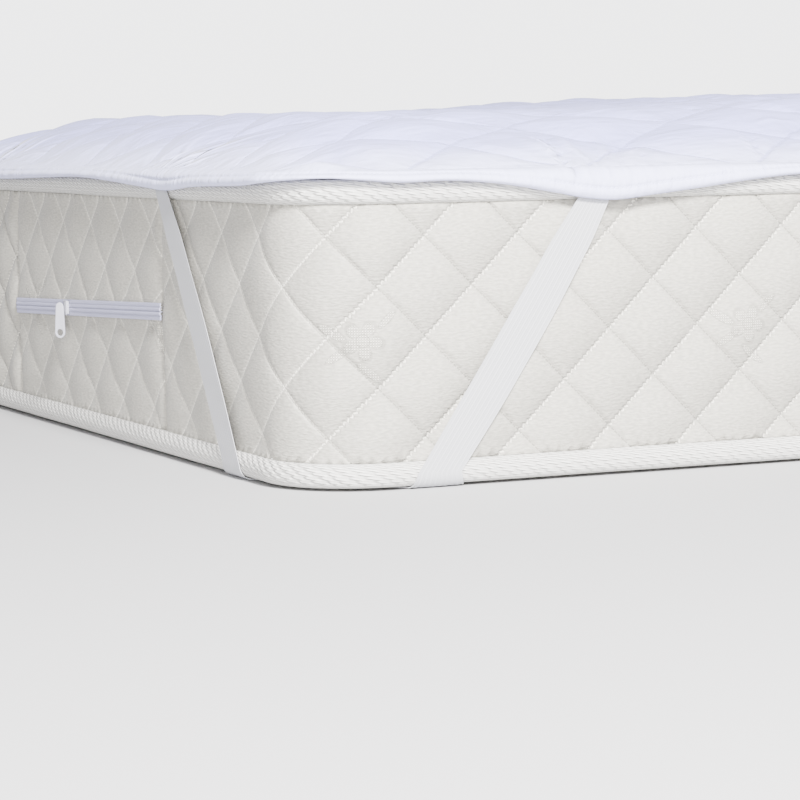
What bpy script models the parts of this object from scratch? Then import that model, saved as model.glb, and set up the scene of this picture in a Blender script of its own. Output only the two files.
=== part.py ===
"""A quilted mattress protector, held by an elastic strap at each corner, on the mattress that it fits.

Metres, +Z up. The origin is on the floor, under the middle of the mattress, and the long sides run along X.
The protector is one quilted pad with a rolled hem, and four flat elastic straps that are sewn under the hem
beside each corner and pass under the mattress. The mattress is a plain body with a round edge tape at its
top and bottom and a short zip in its head end.
"""

import math

import bmesh
import bpy
from mathutils import Matrix, Vector

MM = 0.001
GAP = 0.3 * MM

# The mattress, measured to its border, without the edge tapes
LENGTH = 1900 * MM
WIDTH = 900 * MM
CORNER_RADIUS = 60 * MM
HALF_X = LENGTH / 2
HALF_Y = WIDTH / 2
BORDER_BULGE = 2.6 * MM

# The two edge tapes: oval rolls, each in a rebate of the body
TAPE_HALF_HEIGHT = 8.25 * MM
TAPE_HALF_DEPTH = 6 * MM
TAPE_INSET = 0.5 * MM
TAPE_SIDES = 10
TAPE_TURN_STEPS = 7
BOTTOM_TAPE_Z = 9.85 * MM
TOP_TAPE_Z = 185.75 * MM
REBATE_DEPTH = 7.2 * MM

# The domed top: it rises fast beside the edges, and slowly to the middle of its length
DOME_INSET = 10 * MM
DOME_BASE_Z = 193.5 * MM
SHOULDER_HEIGHT = 36 * MM
SHOULDER_REACH_X = 120 * MM
SHOULDER_REACH_Y = 160 * MM
CROWN_HEIGHT = 12 * MM
CROWN_START = 270 * MM
CROWN_END = 620 * MM
STRAP_PULL = 0.28
STRAP_PULL_WIDTH = 75 * MM
STRAP_PULL_REACH = 95 * MM
DOME_CELL = 50 * MM

# The quilted pad: its diamonds, its thickness on and between the seams, and its hem
QUILT_PITCH_X = 126.6 * MM
QUILT_PITCH_Y = 107.76 * MM
SEAM_FROM_HEM = 8 * MM
PAD_INSET = 2 * MM
PAD_GAP = 0.5 * MM
SEAM_THICKNESS = 3 * MM
PUFF_THICKNESS = 7 * MM
PUFF_REACH = 50 * MM
SHOULDER_FULLNESS = 1.6 * MM
HEM_OUTSET = 12 * MM
HEM_TOP_Z = 196 * MM
HEM_DEPTH = 5 * MM
CORNER_LIFT = 2 * MM
CORNER_LIFT_REACH = 70 * MM
RIPPLE_HEIGHT = 1.3 * MM
RIPPLE_LENGTH = 236 * MM
DIP_WIDTH = 62 * MM

# The hem's section, in order round it: how far out it is, and what share of the hem's depth it hangs
HEM_SECTION = (
    {"outset": 6.5 * MM, "below": -0.45},
    {"outset": 11.0 * MM, "below": 0.15},
    {"outset": 12.0 * MM, "below": 0.75},
    {"outset": 9.8 * MM, "below": 1.0},
    {"outset": 7.6 * MM, "below": 0.8},
    {"outset": 7.6 * MM, "below": 0.3},
    {"outset": 5.0 * MM, "below": 0.0},
    {"outset": -2.0 * MM, "below": -0.1},
)

# The elastic straps, and the shallow grooves that they lie in under the mattress
STRAP_THICKNESS = 1.0 * MM
STRAP_TOP_Z = 190 * MM
STRAP_OUTSET = 5.9 * MM
STRAP_UNDER_Z = 1.3 * MM
STRAP_GATHER = (0.76, 0.96, 1.0, 1.0, 0.94)
TURN_STEPS = 4
GROOVE_HEIGHT = 1.7 * MM
GROOVE_MARGIN = 1.5 * MM
GROOVE_OVERRUN = 30 * MM

# A row for each corner: where its strap leaves the hem and where it turns under, measured along each
# side from the mattress's square corner, its width on each side, and how far it pulls the hem down
STRAPS = (
    {"name": "strap_head_front", "x": -1, "y": -1,
     "long": {"top": 204 * MM, "turn": 89 * MM, "width": 27 * MM, "dip": 13.5 * MM},
     "short": {"top": 238 * MM, "turn": 110 * MM, "width": 24 * MM, "dip": 8 * MM}},
    {"name": "strap_foot_front", "x": 1, "y": -1,
     "long": {"top": 216 * MM, "turn": 98 * MM, "width": 26 * MM, "dip": 11 * MM},
     "short": {"top": 224 * MM, "turn": 101 * MM, "width": 25 * MM, "dip": 9 * MM}},
    {"name": "strap_head_back", "x": -1, "y": 1,
     "long": {"top": 210 * MM, "turn": 95 * MM, "width": 26 * MM, "dip": 12 * MM},
     "short": {"top": 228 * MM, "turn": 104 * MM, "width": 24 * MM, "dip": 7 * MM}},
    {"name": "strap_foot_back", "x": 1, "y": 1,
     "long": {"top": 198 * MM, "turn": 92 * MM, "width": 26 * MM, "dip": 12 * MM},
     "short": {"top": 232 * MM, "turn": 106 * MM, "width": 25 * MM, "dip": 10 * MM}},
)

# The zip in the head end, a little out of level, with its pull tab hanging half edge on
ZIP_MIDDLE_Y = -37 * MM
ZIP_Z = 94.2 * MM
ZIP_LENGTH = 338 * MM
ZIP_HEIGHT = 12 * MM
ZIP_THICKNESS = 1.0 * MM
ZIP_SLOPE = math.radians(-2.2)
SLIDER_Y = -1.5 * MM
SLIDER_SIZE = (2.6 * MM, 8 * MM, 11 * MM)
TAB_WIDTH = 8.5 * MM
TAB_LENGTH = 27 * MM
TAB_THICKNESS = 1.4 * MM
TAB_HOLE_RADIUS = 2.6 * MM
TAB_TURN = math.radians(42)
TAB_TOP_SIDES = 8

# Linear RGB colours
FINISHES = {
    "pad_cotton": {"color": (0.80, 0.81, 0.90), "roughness": 0.75},
    "strap_elastic": {"color": (0.82, 0.83, 0.84), "roughness": 0.7},
    "mattress_ticking": {"color": (0.80, 0.79, 0.74), "roughness": 0.85},
    "edge_tape": {"color": (0.84, 0.83, 0.79), "roughness": 0.9},
    "zip_plastic": {"color": (0.72, 0.72, 0.80), "roughness": 0.4},
}


def clear_scene():
    for obj in list(bpy.data.objects):
        bpy.data.objects.remove(obj)


def finish(name):
    """A Principled material, made once and shared by the pieces that name it."""
    if name in bpy.data.materials:
        return bpy.data.materials[name]
    material = bpy.data.materials.new(name)
    material.use_nodes = True
    shader = material.node_tree.nodes["Principled BSDF"]
    shader.inputs["Base Color"].default_value = (*FINISHES[name]["color"], 1)
    shader.inputs["Roughness"].default_value = FINISHES[name]["roughness"]
    shader.inputs["Metallic"].default_value = 0
    return material


def add_object(name, bm, material, smooth=True):
    """Turns a bmesh into a named object with its material."""
    bmesh.ops.recalc_face_normals(bm, faces=bm.faces)
    mesh = bpy.data.meshes.new(name)
    bm.to_mesh(mesh)
    bm.free()
    mesh.materials.append(finish(material))
    if smooth:
        mesh.shade_smooth()
    obj = bpy.data.objects.new(name, mesh)
    bpy.context.scene.collection.objects.link(obj)
    return obj


def cut_away(obj, cutter):
    """Cuts the cutter's shape out of an object, and keeps the cutter as a guide."""
    cutter.hide_render = True
    cutter.display_type = "WIRE"
    cut = obj.modifiers.new(cutter.name, "BOOLEAN")
    cut.operation = "DIFFERENCE"
    cut.solver = "EXACT"
    cut.object = cutter


def made_verts(made):
    return [part for part in made if isinstance(part, bmesh.types.BMVert)]


def made_edges(made):
    return [part for part in made if isinstance(part, bmesh.types.BMEdge)]


# The plan of the mattress and the shape of its top


def outward(x, y):
    """The plan's outward direction at a point on or near the mattress's outline."""
    dx = max(abs(x) - (HALF_X - CORNER_RADIUS), 0)
    dy = max(abs(y) - (HALF_Y - CORNER_RADIUS), 0)
    return Vector((math.copysign(dx, x), math.copysign(dy, y), 0)).normalized()


def rounded(x, y, inset):
    """Moves a point of a square-cornered plan to the round-cornered one that lies inset from the outline."""
    radius = CORNER_RADIUS - inset
    dx, dy = abs(x) - (HALF_X - CORNER_RADIUS), abs(y) - (HALF_Y - CORNER_RADIUS)
    if dx <= 0 or dy <= 0 or max(dx, dy) > radius * 1.001:
        return x, y
    pull = max(dx, dy) / math.hypot(dx, dy)
    return (
        math.copysign(HALF_X - CORNER_RADIUS + dx * pull, x),
        math.copysign(HALF_Y - CORNER_RADIUS + dy * pull, y),
    )


def arch(distance, reach):
    """Rises from 0 at an edge to 1 at reach, as a parabola that ends level."""
    share = min(max(distance / reach, 0), 1)
    return 1 - (1 - share) ** 2


def ease(value, start, end):
    """Rises from 0 at start to 1 at end, level at both."""
    share = min(max((value - start) / (end - start), 0), 1)
    return share * share * (3 - 2 * share)


def bell(value, width):
    """Falls from 1 at zero on a smooth curve, to a third at the width."""
    return math.exp(-((value / width) ** 2))


def strap_places(strap, x, y):
    """How far a point is from where a strap is sewn, along and in from each side: (side, along, in)."""
    from_head, from_side = HALF_X - strap["x"] * x, HALF_Y - strap["y"] * y
    return (
        (strap["long"], from_head - strap["long"]["top"], from_side),
        (strap["short"], from_side - strap["short"]["top"], from_head),
    )


def flattening(x, y):
    """The share of the shoulder's height that the straps' pull leaves at a point."""
    pull = 0
    for strap in STRAPS:
        for _, along, inward in strap_places(strap, x, y):
            pull = max(pull, bell(along, STRAP_PULL_WIDTH) * bell(inward, STRAP_PULL_REACH))
    return 1 - STRAP_PULL * pull


def dome_z(x, y):
    """Height of the mattress's top panel."""
    from_end = HALF_X - DOME_INSET - abs(x)
    from_side = HALF_Y - DOME_INSET - abs(y)
    shoulder = SHOULDER_HEIGHT * arch(from_end, SHOULDER_REACH_X) * arch(from_side, SHOULDER_REACH_Y)
    crown = CROWN_HEIGHT * ease(from_end, CROWN_START, CROWN_END) * arch(from_side, SHOULDER_REACH_Y)
    return DOME_BASE_Z + shoulder * flattening(x, y) + crown


# Grids, and rims drawn out of them


def spaced(half, cell):
    """Even coordinates from -half to half, about a cell apart."""
    cells = round(2 * half / cell)
    return [half * (2 * i / cells - 1) for i in range(cells + 1)]


def with_corners(half, cell, corner):
    """Even coordinates between the corners, and three steps across each corner."""
    steps = [half - corner + corner * i / 3 for i in (1, 2, 3)]
    return [-step for step in reversed(steps)] + spaced(half - corner, cell) + steps


def add_grid(bm, lines_x, lines_y, place):
    """Adds a grid of quads whose vertices place(x, y) puts in space, and returns its rows of vertices."""
    verts = bmesh.ops.create_grid(
        bm, x_segments=len(lines_x) - 1, y_segments=len(lines_y) - 1, size=1
    )["verts"]
    rows = [verts[i * len(lines_x):(i + 1) * len(lines_x)] for i in range(len(lines_y))]
    for y, row in zip(lines_y, rows):
        for x, vert in zip(lines_x, row):
            vert.co = place(x, y)
    return rows


def rim_edges(rows):
    """The open edges round a grid."""
    edges = {edge for row in (rows[0], rows[-1]) for vert in row for edge in vert.link_edges}
    edges |= {edge for row in rows for vert in (row[0], row[-1]) for edge in vert.link_edges}
    return [edge for edge in edges if edge.is_boundary]


def draw_out(bm, edges, step, height):
    """Extrudes a rim outwards by a step, puts it at height(x, y), and returns its edges."""
    made = bmesh.ops.extrude_edge_only(bm, edges=edges)["geom"]
    for vert in made_verts(made):
        vert.co += outward(vert.co.x, vert.co.y) * step
        vert.co.z = height(vert.co.x, vert.co.y)
    return made_edges(made)


def add_dome(bm, lift):
    """Adds a sheet that lies a lift above the mattress's top panel, and returns its rim."""
    corner = CORNER_RADIUS - DOME_INSET

    def place(x, y):
        x, y = rounded(x, y, DOME_INSET)
        return x, y, dome_z(x, y) + lift

    lines_x = with_corners(HALF_X - DOME_INSET, DOME_CELL, corner)
    lines_y = with_corners(HALF_Y - DOME_INSET, DOME_CELL, corner)
    return rim_edges(add_grid(bm, lines_x, lines_y, place))


# The mattress


def border_outset(z):
    """How far the border stands out of the outline at a height: a soft bulge between the tapes."""
    share = (z - BOTTOM_TAPE_Z) / (TOP_TAPE_Z - BOTTOM_TAPE_Z)
    return BORDER_BULGE * math.sin(math.pi * share) ** 0.6


def border_profile():
    """The mattress's side from its top panel to its underside: (outset, z)."""
    top = TOP_TAPE_Z - TAPE_HALF_HEIGHT - GAP
    bottom = BOTTOM_TAPE_Z + TAPE_HALF_HEIGHT + GAP
    profile = [(-REBATE_DEPTH, DOME_BASE_Z - 1 * MM), (-REBATE_DEPTH, top)]
    for i in range(7):
        z = top + (bottom - top) * i / 6
        profile.append((border_outset(z), z))
    return profile + [(-REBATE_DEPTH, bottom), (-REBATE_DEPTH, 2.5 * MM), (-DOME_INSET, 0)]


def mattress_body():
    """The mattress: a domed top, a border with a rebate for each tape, and a flat underside."""
    bm = bmesh.new()
    edges = add_dome(bm, 0)
    reached = -DOME_INSET
    for outset, z in border_profile():
        edges = draw_out(bm, edges, outset - reached, lambda x, y: z)
        reached = outset
    bmesh.ops.edgeloop_fill(bm, edges=edges)
    return add_object("mattress", bm, "mattress_ticking")


def edge_tape(name, middle_z):
    """An oval roll: a quarter turn at each corner, and straight runs that bridge them."""
    bm = bmesh.new()
    out = CORNER_RADIUS - TAPE_INSET
    ends = []
    for sign_x, sign_y, start in ((1, 1, 0), (-1, 1, 90), (-1, -1, 180), (1, -1, 270)):
        centre = Vector((sign_x * (HALF_X - CORNER_RADIUS), sign_y * (HALF_Y - CORNER_RADIUS), middle_z))
        face_on = Matrix.Rotation(math.radians(start), 4, "Z") @ Matrix.Translation((out, 0, 0))
        oval = Matrix.Diagonal((TAPE_HALF_DEPTH, 1, TAPE_HALF_HEIGHT, 1)) @ Matrix.Rotation(math.pi / 2, 4, "X")
        ring = bmesh.ops.create_circle(
            bm, segments=TAPE_SIDES, radius=1, matrix=Matrix.Translation(centre) @ face_on @ oval
        )["verts"]
        first = list({edge for vert in ring for edge in vert.link_edges})
        turned = bmesh.ops.spin(
            bm, geom=ring + first, cent=centre, axis=(0, 0, 1), angle=math.pi / 2, steps=TAPE_TURN_STEPS
        )["geom_last"]
        ends.append((first, made_edges(turned)))
    for (_, last), (first, _) in zip(ends, ends[1:] + ends[:1]):
        bmesh.ops.bridge_loops(bm, edges=last + first)
    return add_object(name, bm, "edge_tape")


# The protector's pad


def puff(x, y):
    """The quilting's fullness: 0 on a seam, 1 in the middle of a diamond."""
    across = x / QUILT_PITCH_X
    along = (y + HALF_Y + SEAM_FROM_HEM) / QUILT_PITCH_Y
    return math.sqrt(abs(math.sin(math.pi * (across + along)) * math.sin(math.pi * (across - along))))


def pad_top_z(x, y):
    """Height of the pad's quilted face."""
    edge = min(HALF_X - abs(x), HALF_Y - abs(y))
    wadding = PUFF_THICKNESS * puff(x, y) * arch(edge - PAD_INSET, PUFF_REACH)
    fullness = SHOULDER_FULLNESS * (1 - arch(edge, PUFF_REACH))
    return dome_z(x, y) + PAD_GAP + SEAM_THICKNESS + wadding + fullness


def hem_drop(x, y):
    """How much further than its depth the hem hangs: a dip at each strap, a slow ripple, lifted corners."""
    drop = 0
    for strap in STRAPS:
        for side, along, inward in strap_places(strap, x, y):
            if inward < CORNER_RADIUS:
                drop = max(drop, side["dip"] * bell(along, DIP_WIDTH))
    from_corner = math.hypot(HALF_X - abs(x), HALF_Y - abs(y))
    lift = CORNER_LIFT * bell(from_corner, CORNER_LIFT_REACH)
    return drop + RIPPLE_HEIGHT * math.sin(2 * math.pi * (x + y) / RIPPLE_LENGTH) - lift


def split_along_seams(bm, rows):
    """Cuts each quad of the quilted grid in two, along the way that the seams cross it."""
    middle_x, middle_y = len(rows[0]) // 2, len(rows) // 2
    for j, (low, high) in enumerate(zip(rows, rows[1:])):
        for i in range(len(low) - 1):
            if (i - middle_x + j - middle_y) % 2:
                ends = (low[i], high[i + 1])
            else:
                ends = (low[i + 1], high[i])
            bmesh.ops.connect_verts(bm, verts=list(ends))


def hem_ring(bm, edges, reached, point):
    """Draws the pad's rim on to the next point of the hem's section."""
    def height(x, y):
        depth = HEM_DEPTH
        if point["below"] > 0:
            depth += hem_drop(x, y)
        return HEM_TOP_Z - depth * point["below"]

    return draw_out(bm, edges, point["outset"] - reached, height)


def quilted_pad():
    """The pad: a quilted face, a hem that drops over the top tape, and a plain underside."""
    bm = bmesh.new()
    half_x, half_y = HALF_X - PAD_INSET, HALF_Y - PAD_INSET
    lines_x = [-half_x] + [QUILT_PITCH_X / 4 * i for i in range(-29, 30)] + [half_x]
    lines_y = [-half_y] + [QUILT_PITCH_Y / 4 * i for i in range(-16, 17)] + [half_y]

    def place(x, y):
        x, y = rounded(x, y, PAD_INSET)
        return x, y, pad_top_z(x, y)

    rows = add_grid(bm, lines_x, lines_y, place)
    split_along_seams(bm, rows)
    edges = rim_edges(rows)
    reached = -PAD_INSET
    for point in HEM_SECTION:
        edges = hem_ring(bm, edges, reached, point)
        reached = point["outset"]
    bmesh.ops.bridge_loops(bm, edges=edges + add_dome(bm, PAD_GAP))
    return add_object("quilted_pad", bm, "pad_cotton")


# The straps


def strap_rungs(side):
    """The cross-lines of half a strap, from its sewn end down a face and round under: middle, half, out, z."""
    height = STRAP_TOP_Z - BOTTOM_TAPE_Z
    lean = math.atan2(side["top"] - side["turn"], height)
    rungs = []
    for i, gather in enumerate(STRAP_GATHER):
        share = i / (len(STRAP_GATHER) - 1)
        middle = side["top"] + (side["turn"] - side["top"]) * share
        half = side["width"] / 2 / math.cos(lean) * gather
        rungs.append((middle, half, STRAP_OUTSET, STRAP_TOP_Z - height * share))
    face_half = rungs[-1][1]
    under_half = side["width"] / 2 / math.cos(math.pi / 4)
    for step in range(1, TURN_STEPS + 1):
        angle = math.pi / 2 * step / TURN_STEPS
        half = face_half + (under_half - face_half) * step / TURN_STEPS
        out = (STRAP_OUTSET + TAPE_INSET) * math.cos(angle) - TAPE_INSET
        z = BOTTOM_TAPE_Z - (BOTTOM_TAPE_Z - STRAP_UNDER_Z) * math.sin(angle)
        rungs.append((side["turn"], half, out, z))
    return rungs


def on_long_side(strap, along, out, z):
    return strap["x"] * (HALF_X - along), strap["y"] * (HALF_Y + out), z


def on_short_side(strap, along, out, z):
    return strap["x"] * (HALF_X + out), strap["y"] * (HALF_Y - along), z


def strap_path(strap):
    """The strap's cross-lines in space, each as its end nearer the corner and its other end."""
    path = []
    for middle, half, out, z in strap_rungs(strap["long"]):
        path.append([on_long_side(strap, middle + s * half, out, z) for s in (-1, 1)])
    for middle, half, out, z in reversed(strap_rungs(strap["short"])):
        path.append([on_short_side(strap, middle + s * half, out, z) for s in (-1, 1)])
    return path


def corner_strap(strap):
    """One flat elastic: down the long side, slantwise under the corner and up the short side."""
    path = strap_path(strap)
    bm = bmesh.new()
    add_grid(bm, (0, 1), range(len(path)), lambda end, rung: path[rung][end])
    bm.faces.ensure_lookup_table()
    bmesh.ops.recalc_face_normals(bm, faces=bm.faces)
    if bm.faces[0].normal.y * strap["y"] < 0:
        bmesh.ops.reverse_faces(bm, faces=bm.faces)
    bmesh.ops.solidify(bm, geom=bm.faces[:], thickness=-STRAP_THICKNESS)
    return add_object(strap["name"], bm, "strap_elastic", smooth=False)


def cut_groove(body, strap):
    """Cuts the shallow groove in the mattress's underside in which a strap lies."""
    bm = bmesh.new()
    corners = []
    for edge in (-1, 1):
        long_half = strap["long"]["width"] / 2 / math.cos(math.pi / 4) + GROOVE_MARGIN
        short_half = strap["short"]["width"] / 2 / math.cos(math.pi / 4) + GROOVE_MARGIN
        start = Vector(on_long_side(strap, strap["long"]["turn"] + edge * long_half, 0, -GROOVE_HEIGHT))
        end = Vector(on_short_side(strap, strap["short"]["turn"] + edge * short_half, 0, -GROOVE_HEIGHT))
        over = (start - end).normalized() * GROOVE_OVERRUN
        corners.append((start + over, end - over))
    outline = (corners[0][0], corners[0][1], corners[1][1], corners[1][0])
    face = bm.faces.new([bm.verts.new(place) for place in outline])
    made = bmesh.ops.extrude_face_region(bm, geom=[face])["geom"]
    bmesh.ops.translate(bm, verts=made_verts(made), vec=(0, 0, 2 * GROOVE_HEIGHT))
    cut_away(body, add_object("groove_" + strap["name"], bm, "mattress_ticking", smooth=False))


# The zip


def add_box(name, size, place, bevel):
    """A zip piece as a box with its edges taken off."""
    bm = bmesh.new()
    bmesh.ops.create_cube(bm, size=1, matrix=Matrix.Diagonal((*size, 1)))
    bmesh.ops.bevel(bm, geom=bm.edges[:], offset=bevel, affect="EDGES", segments=1, profile=0.5, material=-1)
    obj = add_object(name, bm, "zip_plastic", smooth=False)
    obj.location = place
    obj.rotation_euler = (ZIP_SLOPE, 0, 0)
    return obj


def tab_outline():
    """The pull tab's outline about its upper round end: (y, z)."""
    radius = TAB_WIDTH / 2
    run = TAB_LENGTH - TAB_WIDTH
    outline = []
    for start, drop in ((0, 0), (math.pi, run)):
        for i in range(TAB_TOP_SIDES):
            angle = start + math.pi * i / (TAB_TOP_SIDES - 1)
            outline.append((radius * math.cos(angle), radius * math.sin(angle) - drop))
    return outline


def pull_tab(place):
    """A round-ended tab with a hole at its lower end."""
    bm = bmesh.new()
    face = bm.faces.new([bm.verts.new((-TAB_THICKNESS / 2, y, z)) for y, z in tab_outline()])
    made = bmesh.ops.extrude_face_region(bm, geom=[face])["geom"]
    bmesh.ops.translate(bm, verts=made_verts(made), vec=(TAB_THICKNESS, 0, 0))
    tab = add_object("zip_pull_tab", bm, "zip_plastic", smooth=False)
    bm = bmesh.new()
    bmesh.ops.create_cone(
        bm, cap_ends=True, segments=12, radius1=TAB_HOLE_RADIUS, radius2=TAB_HOLE_RADIUS,
        depth=TAB_THICKNESS * 3, matrix=Matrix.Rotation(math.pi / 2, 4, "Y"),
    )
    bmesh.ops.translate(bm, verts=bm.verts, vec=(0, 0, TAB_WIDTH - TAB_LENGTH))
    hole = add_object("tab_hole", bm, "zip_plastic", smooth=False)
    cut_away(tab, hole)
    for obj in (tab, hole):
        obj.location = place
        obj.rotation_euler = (0, 0, TAB_TURN)


def zip_pieces():
    """The zip's tape, its slider and the pull tab that hangs in front of the slider."""
    tape_x = -HALF_X - BORDER_BULGE - GAP - ZIP_THICKNESS / 2
    add_box("zip_tape", (ZIP_THICKNESS, ZIP_LENGTH, ZIP_HEIGHT), (tape_x, ZIP_MIDDLE_Y, ZIP_Z), GAP)
    slider_x = tape_x - ZIP_THICKNESS / 2 - GAP - SLIDER_SIZE[0] / 2
    slider_z = ZIP_Z + (SLIDER_Y - ZIP_MIDDLE_Y) * math.tan(ZIP_SLOPE)
    add_box("zip_slider", SLIDER_SIZE, (slider_x, SLIDER_Y, slider_z), 0.8 * MM)
    tab_half = TAB_WIDTH / 2 * math.sin(TAB_TURN) + TAB_THICKNESS / 2 * math.cos(TAB_TURN)
    tab_x = slider_x - SLIDER_SIZE[0] / 2 - GAP - tab_half
    pull_tab((tab_x, SLIDER_Y, slider_z))


def main():
    clear_scene()
    body = mattress_body()
    edge_tape("edge_tape_top", TOP_TAPE_Z)
    edge_tape("edge_tape_bottom", BOTTOM_TAPE_Z)
    for strap in STRAPS:
        corner_strap(strap)
        cut_groove(body, strap)
    zip_pieces()
    quilted_pad()


main()
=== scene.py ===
"""A quilted mattress protector, held by an elastic strap at each corner, on the mattress that it fits.

Metres, +Z up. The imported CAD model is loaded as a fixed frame, and every piece here is made around it: the
quilted pad with its rolled hem, the four elastic straps, the mattress with its quilted border, the two round
edge tapes and the short zip. The long sides run along X, and the near corner in the main view is the one at
the head and front, low X and low Y.
"""

import math

import bmesh
import bpy
from bpy.props import FloatProperty, FloatVectorProperty, IntProperty, PointerProperty
from mathutils import Matrix, Vector, noise


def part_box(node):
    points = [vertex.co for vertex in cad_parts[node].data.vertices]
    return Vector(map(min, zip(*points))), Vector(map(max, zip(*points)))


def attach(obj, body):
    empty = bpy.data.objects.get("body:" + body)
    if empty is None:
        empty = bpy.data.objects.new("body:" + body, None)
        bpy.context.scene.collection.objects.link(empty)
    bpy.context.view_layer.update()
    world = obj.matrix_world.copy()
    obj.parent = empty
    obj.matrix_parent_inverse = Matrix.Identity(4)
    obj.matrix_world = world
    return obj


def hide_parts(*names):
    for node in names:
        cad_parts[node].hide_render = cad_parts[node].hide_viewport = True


bl_info = {
    "name": "Quilted mattress protector",
    "version": (1, 0, 0),
    "blender": (4, 5, 0),
    "location": "3D View > Sidebar > Protector",
    "description": "Dresses the packed mattress protector: pad, straps, mattress border, tapes and zip",
    "category": "Object",
}

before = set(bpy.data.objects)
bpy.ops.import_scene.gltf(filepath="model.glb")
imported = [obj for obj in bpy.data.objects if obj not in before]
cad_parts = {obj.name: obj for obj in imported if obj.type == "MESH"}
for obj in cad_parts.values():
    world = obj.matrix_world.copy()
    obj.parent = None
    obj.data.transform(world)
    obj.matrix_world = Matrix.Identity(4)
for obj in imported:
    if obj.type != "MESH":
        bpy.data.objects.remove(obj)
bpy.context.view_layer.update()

MM = 0.001


def in_mm(*rows):
    """A table whose rows are given in millimetres."""
    return tuple(tuple(value * MM for value in row) for row in rows)


def box_middle(box):
    """The middle of a node's box."""
    return (box[0] + box[1]) / 2


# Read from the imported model: the outline, the heights of the tapes and the places of the zip's parts
TAPE_OUT = 5.5 * MM
TOP_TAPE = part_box("edge_tape_top")
BOTTOM_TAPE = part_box("edge_tape_bottom")
HALF_X = TOP_TAPE[1].x - TAPE_OUT
HALF_Y = TOP_TAPE[1].y - TAPE_OUT
TOP_TAPE_Z = (TOP_TAPE[0].z + TOP_TAPE[1].z) / 2
BOTTOM_TAPE_Z = (BOTTOM_TAPE[0].z + BOTTOM_TAPE[1].z) / 2
ZIP_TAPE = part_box("zip_tape")
ZIP_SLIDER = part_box("zip_slider")
ZIP_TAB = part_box("zip_pull_tab")

# The mattress's outline and the run of its four sides
CORNER_RADIUS = 60 * MM
CORE_X = HALF_X - CORNER_RADIUS
CORE_Y = HALF_Y - CORNER_RADIUS
QUARTER = CORNER_RADIUS * math.pi / 2
LONG_RUN = 2 * CORE_X
SHORT_RUN = 2 * CORE_Y
ROUND = 2 * (LONG_RUN + SHORT_RUN) + 4 * QUARTER

# The domed top
DOME_INSET = 10 * MM
DOME_BASE_Z = 193.5 * MM
DOME_CELL = 40 * MM
SHOULDER_HEIGHT = 36 * MM
SHOULDER_REACH_X = 120 * MM
SHOULDER_REACH_Y = 160 * MM
CROWN_HEIGHT = 12 * MM
CROWN_START = 270 * MM
CROWN_END = 620 * MM
STRAP_PULL = 0.28
STRAP_PULL_WIDTH = 75 * MM
STRAP_PULL_REACH = 95 * MM

# The pad's edge and its hem
SEAM_FROM_HEM = 8 * MM
PAD_INSET = 2 * MM
PAD_GAP = 0.5 * MM
PAD_LEAST = 1.2 * MM
PUFF_REACH = 34 * MM
SETTLE = 3.9 * MM
SHOULDER_FULLNESS = 0.9 * MM
LOFT = 2.0 * MM
LOFT_REACH = 60 * MM
HEM_ROLL = 3.8 * MM
HEM_TOP_Z = 196 * MM
HEM_DEPTH = 5 * MM
CORNER_LIFT = 2 * MM
CORNER_LIFT_REACH = 70 * MM
RIPPLE_HEIGHT = 1.3 * MM
RIPPLE_LENGTH = 236 * MM
DIP_WIDTH = 62 * MM

# The hem's section, outside and inside: (outset, share of its depth)
HEM_SECTION = ((6.5 * MM, -0.45), (11.0 * MM, 0.15), (12.0 * MM, 0.75), (9.8 * MM, 1.0))
HEM_INSIDE = ((7.6 * MM, 0.8), (7.6 * MM, 0.3), (5.0 * MM, 0.0), (-2.0 * MM, -0.1))

# The hem's rings: (distance up from its lower edge, how far it is sunk by the stitching)
HEM_RINGS = in_mm(
    (12.5, 0), (10.4, 0), (9.2, 0.15), (8.6, 0.55), (8.0, 0.8), (7.4, 0.5), (6.6, 0), (5.2, -0.25),
    (3.8, -0.3), (2.5, -0.2), (1.2, 0), (0, 0),
)

# How the hem hangs round the head front corner: (run from the corner, how far below its level)
NEAR_HEM = in_mm(
    (-760, 0.5), (-660, 1.6), (-581, 3.0), (-475, 0.9), (-385, -0.5), (-311, 1.8), (-247, 4.8), (-197, 6.5),
    (-148, 3.4), (-58, 1.3), (-20, -1.8), (8, -3.3), (28, -2.0), (49, -0.2), (84, -0.8), (119, 2.0),
    (154, 7.7), (177, 11.7), (200, 13.6), (228, 10.9), (266, 6.8), (304, 2.4), (337, -0.2), (400, -0.6),
    (480, 0.6),
)

# How far the quilting is drawn towards the corner at the head hem: (where it would lie, where it lies)
HEAD_DRAW = in_mm(
    (-60, -60), (46, 44), (153.7, 125), (261.4, 215), (369.2, 295), (477, 425), (584.8, 566), (700, 700),
    (1000, 1000),
)
HEAD_DRAW_REACH = 95 * MM
FRONT_DRAW = 7 * MM
FRONT_DRAW_AT = 50 * MM
FRONT_DRAW_REACH = 55 * MM

# Creases in the pad's face, in millimetres: depth, width, height beside, points (along, in)
CREASES = (
    (3.0, 4.0, 1.6, ((197, 66), (197, 52), (195, 35), (188, 12), (184, -6))),
    (1.0, 3.5, 0.5, ((244, 50), (241, 34), (238, 24))),
    (1.5, 4.0, 0.7, ((253, 42), (252, 26), (246, 10))),
    (1.0, 3.5, 0.5, ((263, 38), (267, 24), (266, 16))),
    (1.3, 5.0, 0.5, ((242, 90), (249, 75), (253, 57), (253, 42))),
    (1.3, 4.5, 0.6, ((347, 63), (347, 44), (341, 28), (339, 12))),
    (1.3, 4.0, 0.6, ((364, 42), (369, 30), (363, 12))),
)

# How far the creases lie from the corner at most, in millimetres, and which of them are sharp lines as well
CREASES_ALONG = 520
CREASES_IN = 320
CREASE_MARGIN = 25
SHARP_CREASES = (CREASES[0], CREASES[2], CREASES[5])
RAISED_SIDE = 6
NO_CREASE = 30 * MM

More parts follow.
